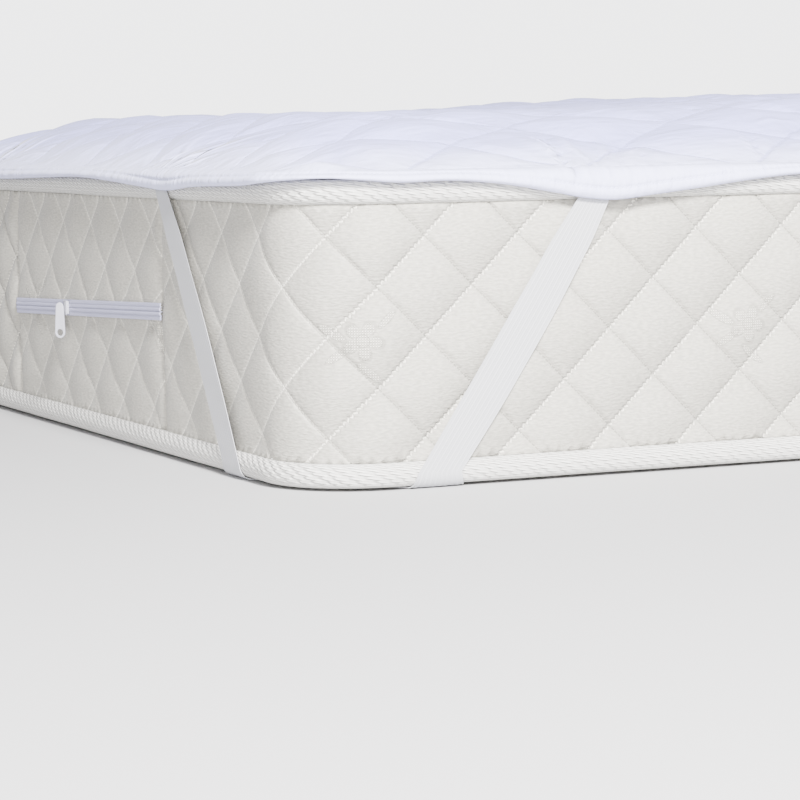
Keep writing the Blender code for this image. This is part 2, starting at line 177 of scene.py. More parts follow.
# The small folds that fan out from each strap's seam: their height, folds to a radian, and where they lie
TENSION_HEIGHT = 2.2 * MM
TENSION_FOLDS = 19
TENSION_FROM = 26 * MM
TENSION_IN = 22 * MM
TENSION_DEEP = 40 * MM
TENSION_WIDE = 60 * MM

# The finer folds in the material: where they are strongest, how deep they reach, and how far they waver
PULL_IN = 24 * MM
PULL_DEEP = 42 * MM
PULL_LIMIT = 200 * MM
PULL_WAVER = 2

# Slack in the pad's cloth: the heights of its two families of ridges, and the margin where they are strongest
SLACK_HEIGHTS = (1.5 * MM, 1.1 * MM)
SLACK_MARGIN = 240 * MM

# The wadding's unevenness: (height, waves a metre)
LARGE_LUMPS = (1.6 * MM, 9)
SMALL_LUMPS = (0.9 * MM, 23)

# The straps: their heights, and how their width is gathered from the hem to the turn
STRAP_TOP_Z = 190 * MM
STRAP_OUTSET = 5.9 * MM
STRAP_UNDER_Z = 1.3 * MM
STRAP_GATHER = (0.68, 0.93, 1.0, 1.0, 0.94)
GROOVE_HEIGHT = 2.4 * MM

# How a strap's half bows on a long and on a short side, and the fan of fine folds that it pulls in the pad
ON_LONG = {"bow": 2.6 * MM, "fan_from": 55 * MM, "fan_width": 60 * MM, "fan_folds": 24, "fan_strength": 0.6}
ON_SHORT = {"bow": -3.2 * MM, "fan_from": 26 * MM, "fan_width": 75 * MM, "fan_folds": 34, "fan_strength": 1}


def strap_half(lie, top, turn, width, dip):
    """Half a strap: where it is sewn and turns under, from the square corner, its width and the hem's dip."""
    return {"top": top * MM, "turn": turn * MM, "width": width * MM, "dip": dip * MM} | lie


STRAPS = tuple(
    {"name": name, "x": x, "y": y, "long": strap_half(ON_LONG, *long), "short": strap_half(ON_SHORT, *short)}
    for name, x, y, long, short in (
        ("strap_head_front", -1, -1, (206, 89, 27, 13.5), (236, 109, 26, 8)),
        ("strap_foot_front", 1, -1, (216, 98, 26, 11), (224, 101, 25, 9)),
        ("strap_head_back", -1, 1, (210, 95, 26, 12), (228, 104, 24, 7)),
        ("strap_foot_back", 1, 1, (198, 92, 26, 12), (232, 106, 25, 10)),
    )
)

# The mattress's border: its bulge, edges and back, how its cloth lies, and where a crossing of its seams is
BORDER_BULGE = 2.6 * MM
BORDER_LOW = 17.6 * MM
BORDER_HIGH = 178.0 * MM
BORDER_BACK = -7.4 * MM
BORDER_SUNK = 2.8 * MM
BORDER_LUMPS = 0.5 * MM
HEAD_PUFF = 0.66
PANEL_ROLL = 2.2 * MM
TAPE_RISE = 1.8 * MM
ZIP_PRESS = 8.5 * MM
NODE_Z = 63.7 * MM

# The border's two panels: the run where each starts and ends, and that of a crossing of its seams
PANELS = (
    {"name": "border_main", "start": -241 * MM, "end": ROUND - 578 * MM, "node": 38 * MM},
    {"name": "border_zip", "start": -578 * MM, "end": -241 * MM, "node": -295 * MM},
)

# The run where the head end's stretched ticking passes into the long side's
HEAD_START = -35 * MM
HEAD_END = 30 * MM

# The edge tapes: sides and rings of the roll, its section, its unevenness and its knit
TAPE_SIDES = 22
TAPE_RINGS = 1100
TAPE_HALF_DEPTH = 5.7 * MM
TAPE_SLACK = 0.55 * MM
TAPE_INSET = 0.5 * MM
TAPE_SWELL = 0.35 * MM
TAPE_WAVER = 0.3 * MM
KNIT_ROWS = 18
KNIT_COLUMNS = 600

# Where the lines of a quilting lattice lie within a diamond, close together beside the seams
PAD_LINES = (0, 0.02, 0.055, 0.105, 0.17, 0.25, 0.33, 0.415, 0.5, 0.585, 0.67, 0.75, 0.83, 0.895, 0.945, 0.98)
BORDER_LINES = (0, 0.03, 0.085, 0.17, 0.28, 0.42, 0.58, 0.72, 0.83, 0.915, 0.97)


# Materials


def maths(operation, reflected=False):
    """A method that adds a Math node, with its own value last where the operator is a reflected one."""
    def method(signal, *others):
        values = (*others, signal) if reflected else (signal, *others)
        return signal.finish.node("Math", {"operation": operation}, dict(enumerate(values)))

    return method


class Signal:
    """A socket of a material, with Python's operators for its maths."""

    def __init__(self, finish, socket):
        self.finish = finish
        self.socket = socket

    __add__ = maths("ADD")
    __radd__ = maths("ADD", reflected=True)
    __sub__ = maths("SUBTRACT")
    __rsub__ = maths("SUBTRACT", reflected=True)
    __mul__ = maths("MULTIPLY")
    __rmul__ = maths("MULTIPLY", reflected=True)
    __truediv__ = maths("DIVIDE")
    __pow__ = maths("POWER")
    low = maths("MINIMUM")
    high = maths("MAXIMUM")
    size = maths("ABSOLUTE")
    sine = maths("SINE")
    cosine = maths("COSINE")
    angle = maths("ARCTAN2")
    whole = maths("FLOOR")
    there_and_back = maths("PINGPONG")

    def near_whole(self):
        """Distance to the nearest whole number, 0 to a half."""
        return self.there_and_back(0.5)

    def clipped(self):
        """The value, kept from 0 to 1."""
        return self.high(0).low(1)

    def step(self, start, end, low=0.0, high=1.0):
        """Goes smoothly from low to high as the value goes from start to end."""
        return self.finish.node(
            "MapRange", {"interpolation_type": "SMOOTHSTEP"},
            {"Value": self, "From Min": start, "From Max": end, "To Min": low, "To Max": high},
        )


def opaque(colour):
    """A colour as a socket takes it."""
    return colour if isinstance(colour, Signal) else (*colour, 1)


def shade(colour, factor):
    """A colour made darker or lighter."""
    return tuple(factor * part for part in colour)


class Finish:
    """A Principled material that is built up by expressions."""

    def __init__(self, name, roughness, **constants):
        self.material = bpy.data.materials.new(name)
        self.material.use_nodes = True
        self.tree = self.material.node_tree
        self.shader = self.tree.nodes["Principled BSDF"]
        self.shader.inputs["Roughness"].default_value = roughness
        for socket, value in constants.items():
            self.shader.inputs[socket.replace("_", " ").title()].default_value = value

    def node(self, kind, settings=None, inputs=None, output=0):
        """Adds a node: its settings first, then the values or links of its sockets."""
        node = self.tree.nodes.new("ShaderNode" + kind)
        for name, value in (settings or {}).items():
            setattr(node, name, value)
        for name, value in (inputs or {}).items():
            self.join(value, node.inputs[name])
        return Signal(self, node.outputs[output])

    def join(self, value, socket):
        if isinstance(value, Signal):
            self.tree.links.new(value.socket, socket)
        else:
            socket.default_value = value

    def parts(self, vector):
        """The three parts of a vector."""
        node = self.node("SeparateXYZ", inputs={0: vector}).socket.node
        return [Signal(self, socket) for socket in node.outputs]

    def attribute(self, name):
        """The three parts of a vector stored on the mesh's points."""
        return self.parts(self.node("Attribute", {"attribute_name": name}, output=1))

    def flat(self, name):
        """The two parts of a UV map."""
        return self.parts(self.node("UVMap", {"uv_map": name}))[:2]

    def place(self):
        """The place on the piece, in metres."""
        return self.node("TexCoord", output=3)

    def vector(self, x, y, z=0):
        return self.node("CombineXYZ", inputs={0: x, 1: y, 2: z})

    def stretch(self, vector, scale):
        return self.node("VectorMath", {"operation": "MULTIPLY"}, {0: vector, 1: scale})

    def grain(self, vector, scale, detail=2.0, roughness=0.5):
        """Smooth noise about zero, from -0.5 to 0.5, with scale waves a metre."""
        inputs = {"Vector": vector, "Scale": scale, "Detail": detail, "Roughness": roughness}
        return self.node("TexNoise", inputs=inputs) - 0.5

    def blend(self, factor, first, second):
        """Mixes two colours."""
        inputs = {0: factor, 6: opaque(first), 7: opaque(second)}
        return self.node("Mix", {"data_type": "RGBA"}, inputs, output=2)

    def paint(self, colour):
        self.join(opaque(colour), self.shader.inputs["Base Color"])

    def relief(self, height):
        """Bumps the surface by a height in metres."""
        bump = self.node("Bump", inputs={"Height": height, "Strength": 1.0, "Distance": 1.0})
        self.join(bump, self.shader.inputs["Normal"])


# Sizes and colours that a user would change

LENGTH = {"unit": "LENGTH", "subtype": "DISTANCE"}
ANGLE = {"unit": "ROTATION", "subtype": "ANGLE"}
COLOUR = {"size": 3, "subtype": "COLOR"}


class ProtectorPadSettings(bpy.types.PropertyGroup):
    pitch_x: FloatProperty(
        name="Diamond length", description="Length of a quilted diamond along the long sides",
        default=126.6 * MM, **LENGTH,
    )
    pitch_y: FloatProperty(
        name="Diamond width", description="Width of a quilted diamond across the pad",
        default=107.76 * MM, **LENGTH,
    )
    seam_thickness: FloatProperty(
        name="Seam thickness", description="Thickness of the pad along its seams", default=3 * MM, **LENGTH,
    )
    puff: FloatProperty(
        name="Puff", description="How far the wadding stands above the seams", default=5.7 * MM, **LENGTH,
    )
    stitch: FloatProperty(
        name="Stitch length", description="Length of a stitch and the space after it",
        default=3.2 * MM, **LENGTH,
    )
    # The hem's paler cotton, also used as painted light: the face is painted towards it near the hem, and on
    # its crease ridges and fold crests as painted highlights.
    hem_and_painted_light_colour: FloatVectorProperty(
        name="Hem", description="Colour of the cotton along the hem", default=(0.665, 0.685, 1.0), **COLOUR,
    )
    colour: FloatVectorProperty(
        name="Cotton", description="Colour of the pad's cotton face", default=(0.455, 0.47, 0.90), **COLOUR,
    )
    # Painted shade: the face is painted towards this colour down in the seams' valleys, and towards a darker
    # copy of it in the creases and between folds.
    seam_shade_colour: FloatVectorProperty(
        name="Cotton in the seams", description="Colour of the cotton down in the seams",
        default=(0.37, 0.385, 0.77), **COLOUR,
    )


class ProtectorStrapSettings(bpy.types.PropertyGroup):
    thickness: FloatProperty(
        name="Thickness", description="Thickness of the elastic", default=0.5 * MM, **LENGTH,
    )
    ribs: IntProperty(name="Ribs", description="Lengthwise ribs across the elastic", default=9, min=3)
    colour: FloatVectorProperty(
        name="Elastic", description="Colour of the elastic", default=(0.475, 0.48, 0.51), **COLOUR,
    )


class ProtectorMattressSettings(bpy.types.PropertyGroup):
    pitch_along: FloatProperty(
        name="Border diamond length", description="Length of a diamond round the border",
        default=65 * MM, **LENGTH,
    )
    pitch_up: FloatProperty(
        name="Border diamond height", description="Height of a diamond of the border",
        default=62.8 * MM, **LENGTH,
    )
    border_puff: FloatProperty(
        name="Border puff", description="How far the border stands out between its seams",
        default=3.8 * MM, **LENGTH,
    )
    colour: FloatVectorProperty(
        name="Ticking", description="Colour of the mattress's knitted ticking",
        default=(0.363, 0.349, 0.311), **COLOUR,
    )
    tape_colour: FloatVectorProperty(
        name="Edge tape", description="Colour of the two knitted edge tapes",
        default=(0.76, 0.75, 0.72), **COLOUR,
    )


class ProtectorZipSettings(bpy.types.PropertyGroup):
    slope: FloatProperty(
        name="Slope", description="How far the zip is out of level", default=math.radians(-2.2), **ANGLE,
    )
    tab_turn: FloatProperty(
        name="Tab turn", description="How far the pull tab is turned about its upright line",
        default=math.radians(42), **ANGLE,
    )
    tape_colour: FloatVectorProperty(
        name="Zip tape", description="Colour of the zip's woven tape", default=(0.47, 0.47, 0.67), **COLOUR,
    )
    plastic_colour: FloatVectorProperty(
        name="Slider", description="Colour of the slider and its pull tab",
        default=(0.50, 0.50, 0.57), **COLOUR,
    )


class ProtectorStageSettings(bpy.types.PropertyGroup):
    floor_colour: FloatVectorProperty(
        name="Floor", description="Colour of the floor", default=(0.48, 0.48, 0.49), **COLOUR,
    )
    key_power: FloatProperty(
        name="Key light", description="Power of the soft light in front of the long side",
        default=460.0, unit="POWER",
    )
    side_power: FloatProperty(
        name="Side light", description="Power of the soft light off the near corner",
        default=242.0, unit="POWER",
    )
    surround: FloatProperty(
        name="Surround", description="Brightness of the soft light from all sides", default=0.30, min=0,
    )
    backdrop: FloatProperty(
        name="Backdrop", description="Brightness of the plain backdrop", default=4.15, min=0,
    )


# The plan of the mattress and the shape of its top


def outward(x, y):
    """The plan's outward direction at a point on or near the mattress's outline."""
    dx = max(abs(x) - CORE_X, 0)
    dy = max(abs(y) - CORE_Y, 0)
    return Vector((math.copysign(dx, x), math.copysign(dy, y), 0)).normalized()


def rounded(x, y, inset):
    """Moves a point of a square-cornered plan to the round-cornered one that lies inset from the outline."""
    radius = CORNER_RADIUS - inset
    dx, dy = abs(x) - CORE_X, abs(y) - CORE_Y
    if dx <= 0 or dy <= 0 or max(dx, dy) > radius * 1.001:
        return x, y
    pull = max(dx, dy) / math.hypot(dx, dy)
    return math.copysign(CORE_X + dx * pull, x), math.copysign(CORE_Y + dy * pull, y)


def outline(run):
    """The place round the outline at a run from the middle of the head front corner, and the way out."""
    run = (run + QUARTER / 2) % ROUND
    for sign_x, sign_y, turn, side in (
        (-1, -1, 180, LONG_RUN), (1, -1, 270, SHORT_RUN), (1, 1, 0, LONG_RUN), (-1, 1, 90, SHORT_RUN)
    ):
        centre = Vector((sign_x * CORE_X, sign_y * CORE_Y, 0))
        angle = math.radians(turn + 90 * min(run / QUARTER, 1))
        way = Vector((math.cos(angle), math.sin(angle), 0))
        if run < QUARTER:
            return centre + way * CORNER_RADIUS, way
        run -= QUARTER
        if run < side:
            return centre + way * CORNER_RADIUS + Vector((-way.y, way.x, 0)) * run, way
        run -= side
    return outline(0)


def run_of(x, y):
    """The run round the outline to the point on it that is nearest, from the head front corner's middle."""
    front_foot = QUARTER + LONG_RUN
    back_foot = front_foot + QUARTER + SHORT_RUN
    back_head = back_foot + QUARTER + LONG_RUN
    if abs(x) > CORE_X and abs(y) > CORE_Y:
        start, turn = {
            (False, False): (0, -math.pi), (True, False): (front_foot, -math.pi / 2),
            (True, True): (back_foot, 0), (False, True): (back_head, math.pi / 2),
        }[x > 0, y > 0]
        angle = math.atan2(y - math.copysign(CORE_Y, y), x - math.copysign(CORE_X, x))
        run = start + (angle - turn) * CORNER_RADIUS
    elif abs(y) - CORE_Y > abs(x) - CORE_X:
        run = QUARTER + CORE_X + x if y < 0 else back_foot + QUARTER + CORE_X - x
    else:
        run = front_foot + QUARTER + CORE_Y + y if x > 0 else back_head + QUARTER + CORE_Y - y
    return run - QUARTER / 2


def arch(distance, reach):
    """Rises from 0 at an edge to 1 at reach, as a parabola that ends level."""
    share = min(max(distance / reach, 0), 1)
    return 1 - (1 - share) ** 2


def ease(value, start, end):
    """Rises from 0 at start to 1 at end, level at both."""
    share = min(max((value - start) / (end - start), 0), 1)
    return share * share * (3 - 2 * share)


def bell(value, width):
    """Falls from 1 at zero on a smooth curve, to a third at the width."""
    return math.exp(-((value / width) ** 2))


def hill(share, sharpness):
    """Rises from 0 to 1 and falls back to 0 as share goes from one whole number to the next."""
    return abs(math.sin(math.pi * share)) ** sharpness


def seam_places(x, y):
    """Each place where a strap is sewn, with how far a point is from it along that side and in from it."""
    for strap in STRAPS:
        from_head, from_side = HALF_X - strap["x"] * x, HALF_Y - strap["y"] * y
        yield strap["long"], from_head - strap["long"]["top"], from_side
        yield strap["short"], from_side - strap["short"]["top"], from_head


def flattening(x, y):
    """The share of the shoulder's height that the straps' pull leaves at a point."""
    places = seam_places(x, y)
    pull = max(bell(along, STRAP_PULL_WIDTH) * bell(inward, STRAP_PULL_REACH) for _, along, inward in places)
    return 1 - STRAP_PULL * pull


def dome_z(x, y):
    """Height of the mattress's top panel."""
    from_end = HALF_X - DOME_INSET - abs(x)
    from_side = HALF_Y - DOME_INSET - abs(y)
    shoulder = SHOULDER_HEIGHT * arch(from_end, SHOULDER_REACH_X) * arch(from_side, SHOULDER_REACH_Y)
    crown = CROWN_HEIGHT * ease(from_end, CROWN_START, CROWN_END) * arch(from_side, SHOULDER_REACH_Y)
    return DOME_BASE_Z + shoulder * flattening(x, y) + crown


# Meshes


def made_verts(made):
    return [part for part in made if isinstance(part, bmesh.types.BMVert)]


def open_edges(bm):
    return [edge for edge in bm.edges if edge.is_boundary]


def spaced(low, high, cell):
    """Even coordinates from low to high, about a cell apart."""
    cells = max(round((high - low) / cell), 1)
    return [low + (high - low) * i / cells for i in range(cells + 1)]


def plan_lines(half, corner, cell, steps, fine=()):
    """Mirrored coordinates: even cells in the middle, any fine ones before the corners, then their steps."""
    ends = list(fine) or [half - corner]
    ends += [half - corner + corner * (i + 1) / steps for i in range(steps)]
    return [-end for end in reversed(ends)] + spaced(-ends[0], ends[0], cell)[1:-1] + ends


def lattice_lines(first, last, within):
    """The lines of a lattice over whole cells, with those that lie within each cell."""
    return [cell + share for cell in range(first, last) for share in within] + [last]


def add_grid(bm, lines_x, lines_y, place, layer=None):
    """Adds a grid of quads that place(x, y) puts in space, and returns its rows; a layer keeps x and y."""
    verts = bmesh.ops.create_grid(
        bm, x_segments=len(lines_x) - 1, y_segments=len(lines_y) - 1, size=1
    )["verts"]
    rows = [verts[i * len(lines_x):(i + 1) * len(lines_x)] for i in range(len(lines_y))]
    for y, row in zip(lines_y, rows):
        for x, vert in zip(lines_x, row):
            vert.co = place(x, y)
            if layer:
                vert[layer] = (x, y, 0)
    return rows


def cut(bm, point, way):
    """Cuts a mesh at a plane and removes what lies on its far side."""
    whole = bm.verts[:] + bm.edges[:] + bm.faces[:]
    bmesh.ops.bisect_plane(bm, geom=whole, dist=1e-6, plane_co=point, plane_no=way, clear_outer=True)


def draw_ring(bm, edges, kept):
    """Draws a ring of edges out to a new one, whose vertices take over what is kept for the old ones."""
    made = bmesh.ops.extrude_edge_only(bm, edges=edges)["geom"]
    ring = {
        vert: next(kept[edge.other_vert(vert)] for edge in vert.link_edges if edge.other_vert(vert) in kept)
        for vert in made_verts(made)
    }
    return [part for part in made if isinstance(part, bmesh.types.BMEdge)], ring


def soften(bm, edges, radius, segments):
    """Rounds edges."""
    bmesh.ops.bevel(
        bm, geom=edges, offset=radius, affect="EDGES", segments=segments, profile=0.5, material=-1,
        clamp_overlap=True,
    )


def face_towards(bm, way):
    """Turns the faces of an open sheet so that its first one faces a way."""
    bmesh.ops.recalc_face_normals(bm, faces=bm.faces)
    bm.faces.ensure_lookup_table()
    if bm.faces[0].normal.dot(way) < 0:
        bmesh.ops.reverse_faces(bm, faces=bm.faces)
    bm.normal_update()


def store_map(bm, name, places, period):
    """Keeps a flat place for each vertex as a UV map, unbroken where it comes round to its start."""
    layer = bm.loops.layers.uv.new(name)
    for face in bm.faces:
        for axis in (0, 1):
            values = [places[loop.vert][axis] for loop in face.loops]
            if period[axis] and max(values) - min(values) > period[axis] / 2:
                values = [value + period[axis] if value < period[axis] / 2 else value for value in values]
            for loop, value in zip(face.loops, values):
                loop[layer].uv[axis] = value


def new_object(name, bm, finish):
    """Turns a bmesh into an object with its material."""
    mesh = bpy.data.meshes.new(name)
    bm.to_mesh(mesh)
    bm.free()
    mesh.materials.append(finish.material)
    obj = bpy.data.objects.new(name, mesh)
    bpy.context.scene.collection.objects.link(obj)
    return obj


def add_piece(name, bm, finish):
    """Turns a closed bmesh into a smooth piece that rides on the one body, with its faces outwards."""
    bmesh.ops.recalc_face_normals(bm, faces=bm.faces)
    if bm.calc_volume(signed=True) < 0:
        bmesh.ops.reverse_faces(bm, faces=bm.faces)
    obj = new_object(name, bm, finish)
    obj.data.shade_smooth()
    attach(obj, "root")
    return obj


# The pad


def draw_along(table, value):
    """Reads a table of (from, to) pairs, straight between its rows."""
    for (low, low_to), (high, high_to) in zip(table, table[1:]):
        if value <= high:
            return low_to + (high_to - low_to) * (value - low) / (high - low)
    return value


def read_table(table, value):
    """Reads a table of (from, to) pairs on a smooth curve through its rows."""
    i = max(k for k in range(len(table) - 1) if table[k][0] <= value)
    before, start, end, after = (table[min(max(k, 0), len(table) - 1)] for k in (i - 1, i, i + 1, i + 2))
    span = end[0] - start[0]
    t = (value - start[0]) / span
    rise_in = (end[1] - before[1]) / (end[0] - before[0]) * span
    rise_out = (after[1] - start[1]) / (after[0] - start[0]) * span
    return (
        (2 * t ** 3 - 3 * t ** 2 + 1) * start[1] + (t ** 3 - 2 * t ** 2 + t) * rise_in
        + (3 * t ** 2 - 2 * t ** 3) * end[1] + (t ** 3 - t ** 2) * rise_out
    )


def lattice_place(p, q):
    """The plan point where two seam coordinates meet."""
    sizes = bpy.context.scene.protector_pad
    x = sizes.pitch_x * (p + q) / 2
    y = sizes.pitch_y * (p - q) / 2 - HALF_Y - SEAM_FROM_HEM
    from_front = y + HALF_Y
    at_head = (draw_along(HEAD_DRAW, from_front) - from_front) * bell(x + HALF_X, HEAD_DRAW_REACH)
    at_front = FRONT_DRAW * bell(from_front - FRONT_DRAW_AT, FRONT_DRAW_REACH)
    return x, y + at_head + at_front, 0


def from_crease(points, along, inward):
    """Where a point lies by a crease: the distance to it, its side, and how far along it that is."""
    best = None
    done = 0
    lengths = [math.dist(a, b) for a, b in zip(points, points[1:])]
    for (x1, y1), (x2, y2), length in zip(points, points[1:], lengths):
        dx, dy = (x2 - x1) / length, (y2 - y1) / length
        reach = min(max((along - x1) * dx + (inward - y1) * dy, 0), length)
        off_x, off_y = along - x1 - dx * reach, inward - y1 - dy * reach
        away = math.hypot(off_x, off_y)
        if best is None or away < best[0]:
            best = (away, math.copysign(1, off_x * dy - off_y * dx), (done + reach) / sum(lengths))
        done += length
    return best


def creases(x, y):
    """What the creases take from the pad's height at a point."""
    along, inward = (x + HALF_X) / MM, (y + HALF_Y) / MM
    if along > CREASES_ALONG or inward > CREASES_IN:
        return 0
    height = 0
    for depth, width, ridge, points in CREASES:
        starts = [point[0] for point in points]
        if min(starts) - CREASE_MARGIN < along < max(starts) + CREASE_MARGIN:
            away, _, share = from_crease(points, along, inward)
            taper = hill(min(max(share, 0.02), 0.98), 0.5)
            height -= depth * taper * bell(away, width)
            height += ridge * taper * bell(away - 2 * width, width)
    return height * MM


def nearest_crease(x, y):
    """The nearest sharp crease: the distance to it, its depth there, the distance to its raised side."""
    along, inward = (x + HALF_X) / MM, (y + HALF_Y) / MM
    best = (NO_CREASE, 0, NO_CREASE)
    if along > CREASES_ALONG or inward > CREASES_IN:
        return best
    for depth, _, _, points in SHARP_CREASES:
        away, side, share = from_crease(points, along, inward)
        if away * MM < best[0]:
            best = (away * MM, depth * hill(share, 0.5) * MM, abs(away * side - RAISED_SIDE) * MM)
    return best


def tension(x, y):
    """Small folds that fan out from where each strap is sewn to the hem."""
    height = 0
    for half, along, inward in seam_places(x, y):
        if abs(along) < 110 * MM and inward < 130 * MM:
            angle = math.atan2(along, inward + TENSION_FROM)
            reach = bell(inward - TENSION_IN, TENSION_DEEP) * bell(along, TENSION_WIDE)
            fan = max(math.cos(angle * TENSION_FOLDS + half["top"] * 90), 0) ** 1.5
            height += TENSION_HEIGHT * fan * reach * ease(inward, -2 * MM, 14 * MM)
    return height


def nearest_pull(x, y):
    """The fan of fine folds at a point: how far round the nearest strap's end it is, and how strong."""
    best = (0, 0, 0)
    for half, along, inward in seam_places(x, y):
        reach = bell(inward - PULL_IN, PULL_DEEP) * bell(along, half["fan_width"])
        if max(abs(along), inward) < PULL_LIMIT and reach > best[1]:
            turn = math.atan2(along, inward + half["fan_from"]) * half["fan_folds"]
            turn += PULL_WAVER * noise.noise(Vector((x, y, 0)) * 22)
            best = (turn, reach * half["fan_strength"], 0)
    return best


def slack_folds(x, y):
    """Slack in the cloth: narrow soft ridges that run slantwise in from the hem."""
    bend = noise.noise(Vector((x * 7, y * 7, 4))) * 0.6
    first = noise.noise(Vector((x * 11 + y * 7 + bend, y * 4.5 - x * 1.5, 7)))
    second = noise.noise(Vector((x * 6 - y * 9, y * 16 + bend * 2, 2)))
    near = 0.45 + 0.55 * bell(min(HALF_X + x, HALF_Y + y), SLACK_MARGIN)
    ridges = (max(1 - abs(first) * 5.5, 0) ** 1.5, max(1 - abs(second) * 5.0, 0) ** 1.5)
    return near * (SLACK_HEIGHTS[0] * ridges[0] + SLACK_HEIGHTS[1] * ridges[1])


def pad_top_z(x, y, p, q):
    """Height of the pad's quilted face: the dome under it, its diamonds, and what the straps do to it."""
    sizes = bpy.context.scene.protector_pad
    edge = min(HALF_X - abs(x), HALF_Y - abs(y))
    fade = arch(edge - PAD_INSET, PUFF_REACH)
    wadding = sizes.puff * (hill(p, 1) * hill(q, 1)) ** 0.7 * fade
    fullness = SHOULDER_FULLNESS * (1 - arch(edge, PUFF_REACH))
    place = Vector((x, y, 0))
    large = LARGE_LUMPS[0] * noise.noise(place * LARGE_LUMPS[1])
    small = SMALL_LUMPS[0] * noise.noise(place * SMALL_LUMPS[1] + Vector((5, 3, 1)))
    lumps = (large + small) * (0.25 + 0.75 * fade)
    settle = SETTLE * fade - LOFT * arch(edge, LOFT_REACH)
    height = dome_z(x, y) + PAD_GAP + sizes.seam_thickness - settle + wadding + fullness + lumps
    roll = HEM_ROLL * ease(edge, -3 * MM, 13 * MM) * (1 - ease(edge, 10 * MM, 75 * MM))
    worked = creases(x, y) + tension(x, y) + slack_folds(x, y) * fade + roll
    return max(height + worked, dome_z(x, y) + PAD_LEAST)


def hem_drop(x, y):
    """How much further than its depth the hem hangs: a dip at each strap, a slow ripple, lifted corners."""
    run = run_of(x, y)
    near = run - ROUND if run > ROUND / 2 else run
    if NEAR_HEM[0][0] < near < NEAR_HEM[-1][0]:
        return read_table(NEAR_HEM, near)
    drop = 0
    for half, along, inward in seam_places(x, y):
        if inward < CORNER_RADIUS:
            drop = max(drop, half["dip"] * bell(along, DIP_WIDTH))
    from_corner = math.hypot(HALF_X - abs(x), HALF_Y - abs(y))
    lift = CORNER_LIFT * bell(from_corner, CORNER_LIFT_REACH)
    return drop + RIPPLE_HEIGHT * math.sin(2 * math.pi * (x + y) / RIPPLE_LENGTH) - lift


def hem_point(x, y, outset, below):
    """A point of the hem's section: how far out and how high."""
    depth = HEM_DEPTH + (hem_drop(x, y) if below > 0 else 0)
    return Vector((outset, HEM_TOP_Z - depth * below))


def curve_through(points, steps):
    """A smooth line through points in a plane, with a few steps between each two."""
    line = []
    ends = [2 * points[0] - points[1]] + points + [2 * points[-1] - points[-2]]
    for before, start, end, after in zip(ends, ends[1:], ends[2:], ends[3:]):
        for i in range(steps):
            t = i / steps
            line.append(
                0.5 * (2 * start + (end - before) * t + (2 * before - 5 * start + 4 * end - after) * t * t
                       + (3 * start - before - 3 * end + after) * t ** 3)
            )
    return line + [points[-1]]


# The hem map's second coordinate where a place is not on the hem's own rings
MAP_FACE = 22 * MM
MAP_INSIDE = -20 * MM
MAP_UNDER = -40 * MM


def hem_rings(x, y, rim_z):
    """The section of the hem at a rim point, outside and in: (map distance, (outset, z)) for every ring."""
    points = [Vector((-PAD_INSET, rim_z))]
    points += [hem_point(x, y, outset, below) for outset, below in HEM_SECTION]
    line = curve_through(points, 8)[::-1]
    lengths = [0]
    for a, b in zip(line, line[1:]):
        lengths.append(lengths[-1] + (b - a).length)
    whole = lengths[-1]
    above = (whole - HEM_RINGS[0][0]) / 3
    rings = []
    for away, sunk in ((whole - above, 0), (whole - above * 2, 0)) + HEM_RINGS:
        i = max(k for k in range(len(line) - 1) if lengths[k] <= away + 1e-9)
        share = (away - lengths[i]) / (lengths[i + 1] - lengths[i])
        way = (line[i] - line[i + 1]).normalized()
        inside = Vector((way.y, -way.x))
        rings.append((away, line[i].lerp(line[i + 1], share) + inside * sunk))
    return rings + [(MAP_INSIDE, hem_point(x, y, outset, below)) for outset, below in HEM_INSIDE]


# How far points of the cut rim may lie apart to be merged, and how far the painted light that makes the face
# paler towards the hem reaches
RIM_MERGE = 0.9 * MM
PAINTED_LIGHT_REACH = 66 * MM


